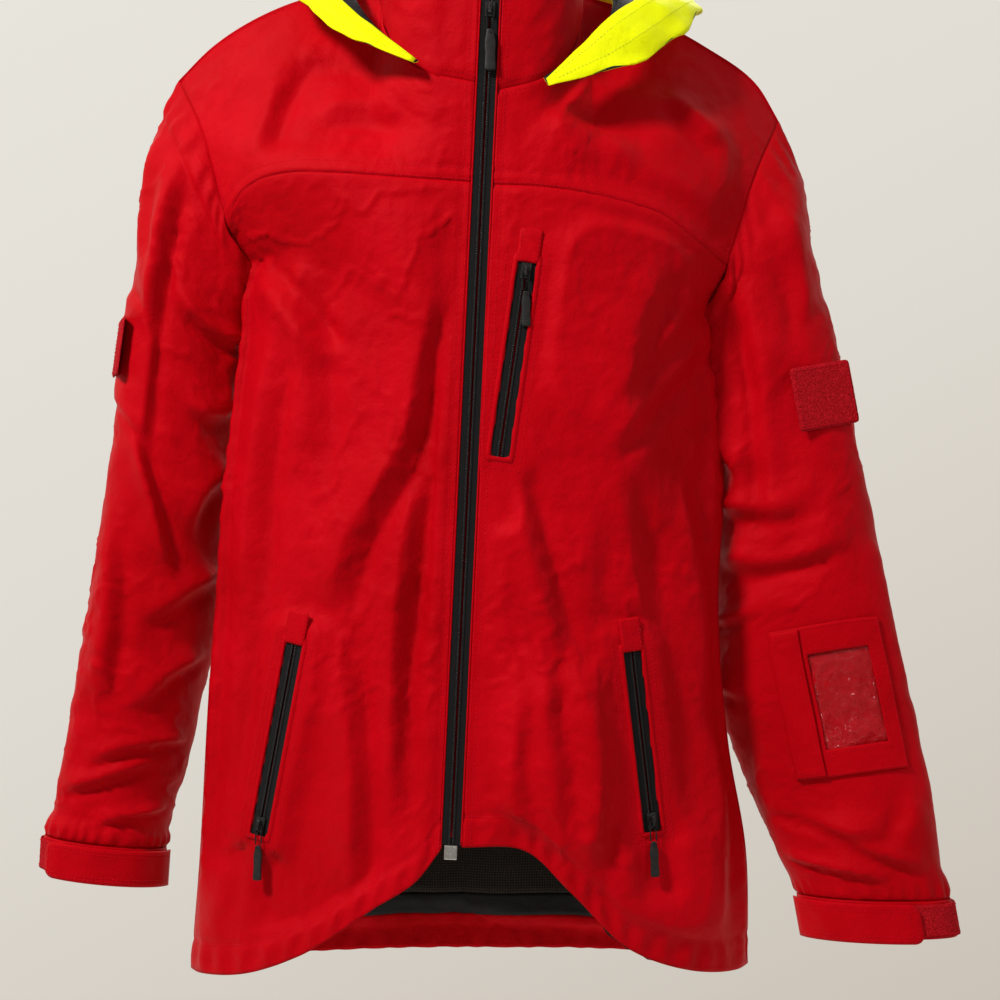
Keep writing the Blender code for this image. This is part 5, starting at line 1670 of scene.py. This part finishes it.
def pocket_grid(us, vs, outside):
    """Points of the card pocket's slanted outline, held off the sleeve."""
    rows = []
    for v in vs:
        degrees = share((share(ID_POCKET["outer"], v), share(ID_POCKET["inner"], v)), us)
        stations = share((share(ID_POCKET["top"], us), share(ID_POCKET["bottom"], us)), v)
        points = [sleeve_rings("left", [s], np.radians([d]), outside)[0, 0] for s, d in zip(stations, degrees)]
        rows.append(points)
    return np.array(rows)


def make_id_pocket():
    """The framed clear window on the left forearm, and the long flap over its inner edge."""
    body, axis = "sleeve_left_body", sleeve_axis("left", 0.71)
    (u0, u1), (v0, v1) = ID_WINDOW
    us = np.concatenate([np.linspace(0, u0, 13), np.linspace(u0, u1, 25)[1:], np.linspace(u1, 1, 25)[1:]])
    vs = np.concatenate([np.linspace(0, v0, 13), np.linspace(v0, v1, 33)[1:], np.linspace(v1, 1, 13)[1:]])
    grid = pocket_grid(us, vs, 0.0026)
    normal = outward(grid, axis)
    grid = grid + (0.5 * MM * waves(grid, 61, 0.05))[..., None] * normal
    in_u = (us[:-1] >= u0 - 1e-6) & (us[1:] <= u1 + 1e-6)
    in_v = (vs[:-1] >= v0 - 1e-6) & (vs[1:] <= v1 + 1e-6)
    keep = ~(in_v[:, None] & in_u[None])
    ob = cloth("cloth_id_frame", grid, LOOKS["red"], axis, thickness=0.9 * MM, keep=keep)
    window = flat_size(pocket_grid(np.linspace(u0, u1, 20), np.linspace(v0, v1, 20), 0.0026))
    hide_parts("id_pocket_frame")
    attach(ob, body)
    nu, nv = len(us) - 1, len(vs) - 1
    edges = {"u0": 12 / nu, "u1": 36 / nu, "v0": 12 / nv, "v1": 44 / nv}
    paths = frame_paths(grid, normal, 0.02, 0.98, 0.02, 0.98)
    paths += frame_paths(grid, normal, edges["u0"] - 0.03, edges["u1"] + 0.015,
                         edges["v0"] - 0.03, edges["v1"] + 0.03)
    stitch_paths("id_frame_stitches", paths, LOOKS["thread"], body, 0.1 * MM)
    make_id_window(body, axis)
    make_id_flap(axis)


def frame_paths(grid, normal, u0, u1, v0, v1):
    us, vs = np.linspace(u0, u1, 120), np.linspace(v0, v1, 160)
    return [grid_path(grid, normal, us, v0), grid_path(grid, normal, us, v1),
            grid_path(grid, normal, u0, vs), grid_path(grid, normal, u1, vs)]


def make_id_window(body, axis):
    (u0, u1), (v0, v1) = ID_WINDOW
    grid = pocket_grid(np.linspace(u0 - 0.03, u1 + 0.03, 41), np.linspace(v0 - 0.02, v1 + 0.02, 57), 0.0011)
    normal = outward(grid, axis)
    v, u = shares_of(grid)
    free = np.minimum(np.minimum(u, 1 - u), np.minimum(v, 1 - v)) * 6
    lift = (0.7 * MM + 0.9 * MM * waves(grid, 71, 0.03) + 0.8 * MM * np.abs(waves(grid, 72, 0.016)))
    grid = grid + (lift * smooth_step(free, 0.0, 1.0))[..., None] * normal
    ob = cloth("film_id_window", grid, LOOKS["film"], axis, thickness=0.25 * MM)
    add_sheet(ob, body, ["id_window"])


def make_id_flap(axis):
    grid = pocket_grid(np.linspace(*ID_FLAP[0], 25), np.linspace(*ID_FLAP[1], 61), 0.0050)
    normal = outward(grid, axis)
    v, u = shares_of(grid)
    border = np.minimum(np.minimum(u * 2, (1 - u) * 2), np.minimum(v, 1 - v) * 6)
    plump = 0.5 * MM * smooth_step(border, 0.0, 0.3) - 0.4 * MM * np.exp(-(((border - 0.42) / 0.08) ** 2))
    grid = grid + (plump + 0.35 * MM * np.sin(v * 19 + u * 2) * smooth_step(border, 0, 0.6))[..., None] * normal
    ob = cloth("cloth_id_flap", grid, LOOKS["red"], axis, thickness=1.1 * MM)
    add_sheet(ob, None, ["id_pocket_flap"])
    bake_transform(ob)
    ob = stitch_paths("id_flap_stitches", frame_paths(grid, normal, 0.13, 0.87, 0.03, 0.97), LOOKS["thread"],
                      None, 0.1 * MM)
    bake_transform(ob)


def hood_grid(share, u, v):
    """The hanging hood as a pouch round the neck: u from tip to tip, v from base to rim."""
    base, fold, rim = spline(HOOD_BASE)(u), spline(HOOD_FOLD)(u), spline(HOOD_RIM)(u)
    control = 2 * fold - (base + rim) / 2
    v = v[:, None, None]
    pouch = (1 - v) ** 2 * base[None] + 2 * v * (1 - v) * control[None] + v**2 * rim[None]
    mouth = (base + rim)[None] / 2
    return mouth + share * (pouch - mouth)


def make_hood():
    body = "jacket_body"
    middle = np.array((0.0, 0.030, 0.010))
    u, v = np.linspace(0, 1, 145), np.linspace(0.06, 1.0, 49)
    cut = hood_grid(1.0, u, v)
    normal = outward(cut, middle)
    ends = smooth_step(u, 0.0, 0.08) * (1 - smooth_step(u, 0.92, 1.0))
    calm = smooth_step(v, 0.06, 0.20)[:, None] * ends[None]
    lift = 3.2 * MM * waves(cut, 21, 0.075) + 1.6 * MM * waves(cut, 22, 0.035)
    ripples = 1.8 * MM * np.sin(u * 96 + 1.5 * np.sin(v[:, None] * 5))
    ripples = ripples * np.exp(-(((v - 0.55) / 0.22) ** 2))[:, None]
    rim = -0.8 * MM * np.exp(-(((1 - v) / 0.05) ** 2))[:, None]
    grid = cut + ((lift + ripples) * calm + rim)[..., None] * normal
    ob = cloth("cloth_hood", grid, LOOKS["yellow"], middle, back_look=LOOKS["black"])
    add_sheet(ob, body, ["hood_shell"])
    new_normal = outward(grid, middle)
    paths = [grid_path(grid, new_normal, np.linspace(0.01, 0.99, 600), level) for level in (0.95, 0.82)]
    paths += [grid_path(grid, new_normal, side, np.linspace(0.05, 0.93, 100)) for side in (0.36, 0.64)]
    stitch_paths("hood_stitches", paths, LOOKS["thread_yellow"], body, 0.1 * MM)
    u, v = np.linspace(4 / 24, 20 / 24, 105), np.linspace(0.06, 1.0, 41)
    cut = hood_grid(0.74, u, v)
    normal = outward(cut, middle)
    calm = (smooth_step(v, 0.06, 0.25) * (1 - smooth_step(v, 0.85, 1.0)))[:, None]
    grid = cut + ((1.8 * MM * waves(cut, 23, 0.05)) * calm)[..., None] * normal
    ob = cloth("cloth_hood_lining", grid, LOOKS["black"], middle)
    add_sheet(ob, body, ["hood_lining"])


def make_collar():
    body, middle = "jacket_body", np.array((0.0, -0.045, 0.020))
    base_points = ([np.array(beside_zip("right", NECK_AT_ZIP["right"] + 0.003))]
                   + [np.array(p) + (0, 0, 0.003) for p in NECK_SEAM["right"]]
                   + [np.array(NECK_POINT["right"]) + (0.004, 0, 0.004), np.array(BACK_NECK) + (0, 0, 0.004),
                      np.array(NECK_POINT["left"]) + (-0.004, 0, 0.004)]
                   + [np.array(p) + (0, 0, 0.003) for p in NECK_SEAM["left"][::-1]]
                   + [np.array(beside_zip("left", NECK_AT_ZIP["left"] + 0.003))])
    base = spline(base_points)
    top = spline([beside_zip("right", ZIP_TOP[2])] + COLLAR_TOP + [beside_zip("left", ZIP_TOP[2])])
    cut = coons(base, top, line(base(0), top(0)), line(base(1), top(1)), 150, 30)
    normal = outward(cut, middle)
    across, down = grid_lengths(cut)
    calm = smooth_step(across, 0.004, 0.02) * smooth_step(across[:, -1:] - across, 0.004, 0.02)
    lift = (1.4 * MM * waves(cut, 41, 0.05) + 0.6 * MM * waves(cut, 42, 0.02)) * calm
    grid = cut + lift[..., None] * normal
    grid = dip(grid, normal, down, 1.2 * MM, 3.0 * MM)
    grid = dip(grid, normal, down[-1:] - down - 4 * MM, 0.6 * MM, 2.0 * MM)
    grid = dip(grid, normal, across - 7.5 * MM, 0.6 * MM, 2.2 * MM)
    allowance = grid[:1] - normal[:1] * 2.0 * MM - np.array((0.0, 0.0, 9.0 * MM))
    ob = cloth("cloth_collar", np.concatenate([allowance, grid]), LOOKS["red"], middle)
    add_sheet(ob, body, ["collar_shell"])
    shown = outward(grid, middle)
    paths = [row_path(grid, shown, 3 * MM), row_path(grid, shown, 4 * MM, from_low=False),
             column_path(grid, shown, 2.2 * MM), column_path(grid, shown, 7.5 * MM),
             column_path(grid, shown, 2.2 * MM, from_first=False),
              column_path(grid, shown, 7.5 * MM, from_first=False)]
    stitch_paths("collar_stitches", paths, LOOKS["thread"], body, 0.05 * MM)
    inner = cut[1:-1, 2:-2] - normal[1:-1, 2:-2] * 3.2 * MM + (lift[..., None] * normal)[1:-1, 2:-2]
    ob = cloth("cloth_collar_lining", inner, LOOKS["black"], middle, thickness=0.6 * MM)
    add_sheet(ob, body, ["collar_lining"])


def window_of(grid, u0, u1, v0, v1):
    """The part of a grid between two shares of its columns and of its rows."""
    rows, columns = grid.shape[0] - 1, grid.shape[1] - 1
    return grid[int(v0 * rows):int(round(v1 * rows)) + 1, int(u0 * columns):int(round(u1 * columns)) + 1]


def inner_sheet(name, grid, span, depth, look, node):
    """A layer that hangs inside the jacket, a fixed distance behind a shell piece."""
    normal = outward(grid, TORSO_INSIDE)
    part = window_of(grid - normal * depth, *span)
    ob = cloth(name, part, look, TORSO_INSIDE, thickness=0.5 * MM)
    return add_sheet(ob, "jacket_body", [node])


def make_linings(smooth, fine):
    """Linings, bags and hem facings follow the settled shell at their own depths."""
    back = smooth["back_panel"]
    length = float(grid_lengths(back)[1][-1].mean())
    facing, tape = 0.034 / length, 0.054 / length
    inner_sheet("cloth_hem_facing", fine["back_panel"], (0.07, 0.93, 0.004, facing), 2.0 * MM, LOOKS["facing"],
                "hem_facing_back")
    inner_sheet("cloth_hem_tape", fine["back_panel"], (0.07, 0.93, facing + 0.002, tape), 2.6 * MM, LOOKS["black"],
                "hem_tape_back")
    inner_sheet("cloth_lining_back", back, (0.10, 0.90, tape + 0.004, 0.84), 4.0 * MM, LOOKS["mesh"],
                "lining_back")
    for s in SIDES:
        inner_sheet(f"cloth_lining_front_{s}", smooth[f"front_panel_{s}"], (0.10, 0.86, 0.06, 0.96), 10.5 * MM,
                    LOOKS["mesh"], f"lining_front_{s}")
    for name, side in ZIP_SIDE.items():
        grid = smooth[f"front_panel_{side}"]
        box_low, box_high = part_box(f"{name}_pocket_bag")
        ok = ((grid[..., 0] > box_low.x) & (grid[..., 0] < box_high.x)
              & (grid[..., 2] > box_low.z) & (grid[..., 2] < box_high.z))
        rows, columns = np.nonzero(ok.any(1))[0], np.nonzero(ok.any(0))[0]
        nr, nc = grid.shape[0] - 1, grid.shape[1] - 1
        span = (columns[0] / nc, columns[-1] / nc, rows[0] / nr, rows[-1] / nr)
        inner_sheet(f"cloth_bag_{name}", grid, span, 6.8 * MM, LOOKS["mesh"],
                    f"{name}_pocket_bag")


def make_placket():
    node = "inner_placket"
    place = dict(FRAMES["main"])
    low, high = node_points(node).min(0), node_points(node).max(0)
    x = np.linspace(-0.0195, 0.0195, 15)
    z = np.linspace(low[2], high[2], 160)
    centre = np.stack([zip_point(value) for value in z])
    none = np.zeros((160, 15))
    grid = centre[:, None] + np.stack([np.broadcast_to(x, none.shape), none, none], -1)
    off = float(((node_points(node) - place["centre"]) @ place["out"]).mean())
    grid = grid + off * place["out"]
    wave = 0.3 * MM * np.sin(z * 90)[:, None] * (1 - (x / 0.02) ** 2)[None]
    grid = grid - np.abs(wave)[..., None] * place["out"]
    ob = cloth("cloth_placket", grid, LOOKS["facing"], TORSO_INSIDE, thickness=0.8 * MM)
    add_sheet(ob, "jacket_body", [node])


def make_piping():
    """The turned edges of the fronts and collar, beside the main zip's tapes."""
    for s in SIDES:
        z = np.linspace(ZIP_TOP[2], HEM_AT_ZIP[s] + 0.002, 220)
        path = np.stack([np.array(beside_zip(s, value)) for value in z])
        path = path - np.array((SIGN[s] * 0.3 * MM, 0.15 * MM, 0.0))
        ob = loft(f"zip_edge_fold_{s}", cord_rings(path, 0.75 * MM, 8), LOOKS["red_near"])
        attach(ob, "jacket_body")


def make_loop():
    """The hanging loop: a braided cord sewn down at both ends."""
    route = [(-0.024, 0.0, -0.016), (-0.0225, 0.0, -0.006), (-0.016, 0.0, 0.0010), (0.0, 0.0, 0.0014),
             (0.016, 0.0, 0.0010), (0.0225, 0.0, -0.006), (0.024, 0.0, -0.016)]
    path = spline(route)(np.linspace(0, 1, 140))
    ob = loft("loop_cord", cord_rings(path, 1.3 * MM, 14, 1900.0, 3, 0.16 * MM), LOOKS["cord"])
    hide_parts("hanger_loop")
    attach(ob, "jacket_body")


make_camera()
make_stage()
fine_torso = make_torso()
sew_torso(fine_torso)
smooth_torso = {name: grid[::2, ::2] for name, grid in fine_torso.items()}
make_linings(smooth_torso, fine_torso)
make_collar()
make_hood()
for wearer_side in SIDES:
    make_sleeve(wearer_side)
    make_cuff(wearer_side)
    make_badge(wearer_side)
make_id_pocket()
make_zips()
make_placket()
make_piping()
make_loop()
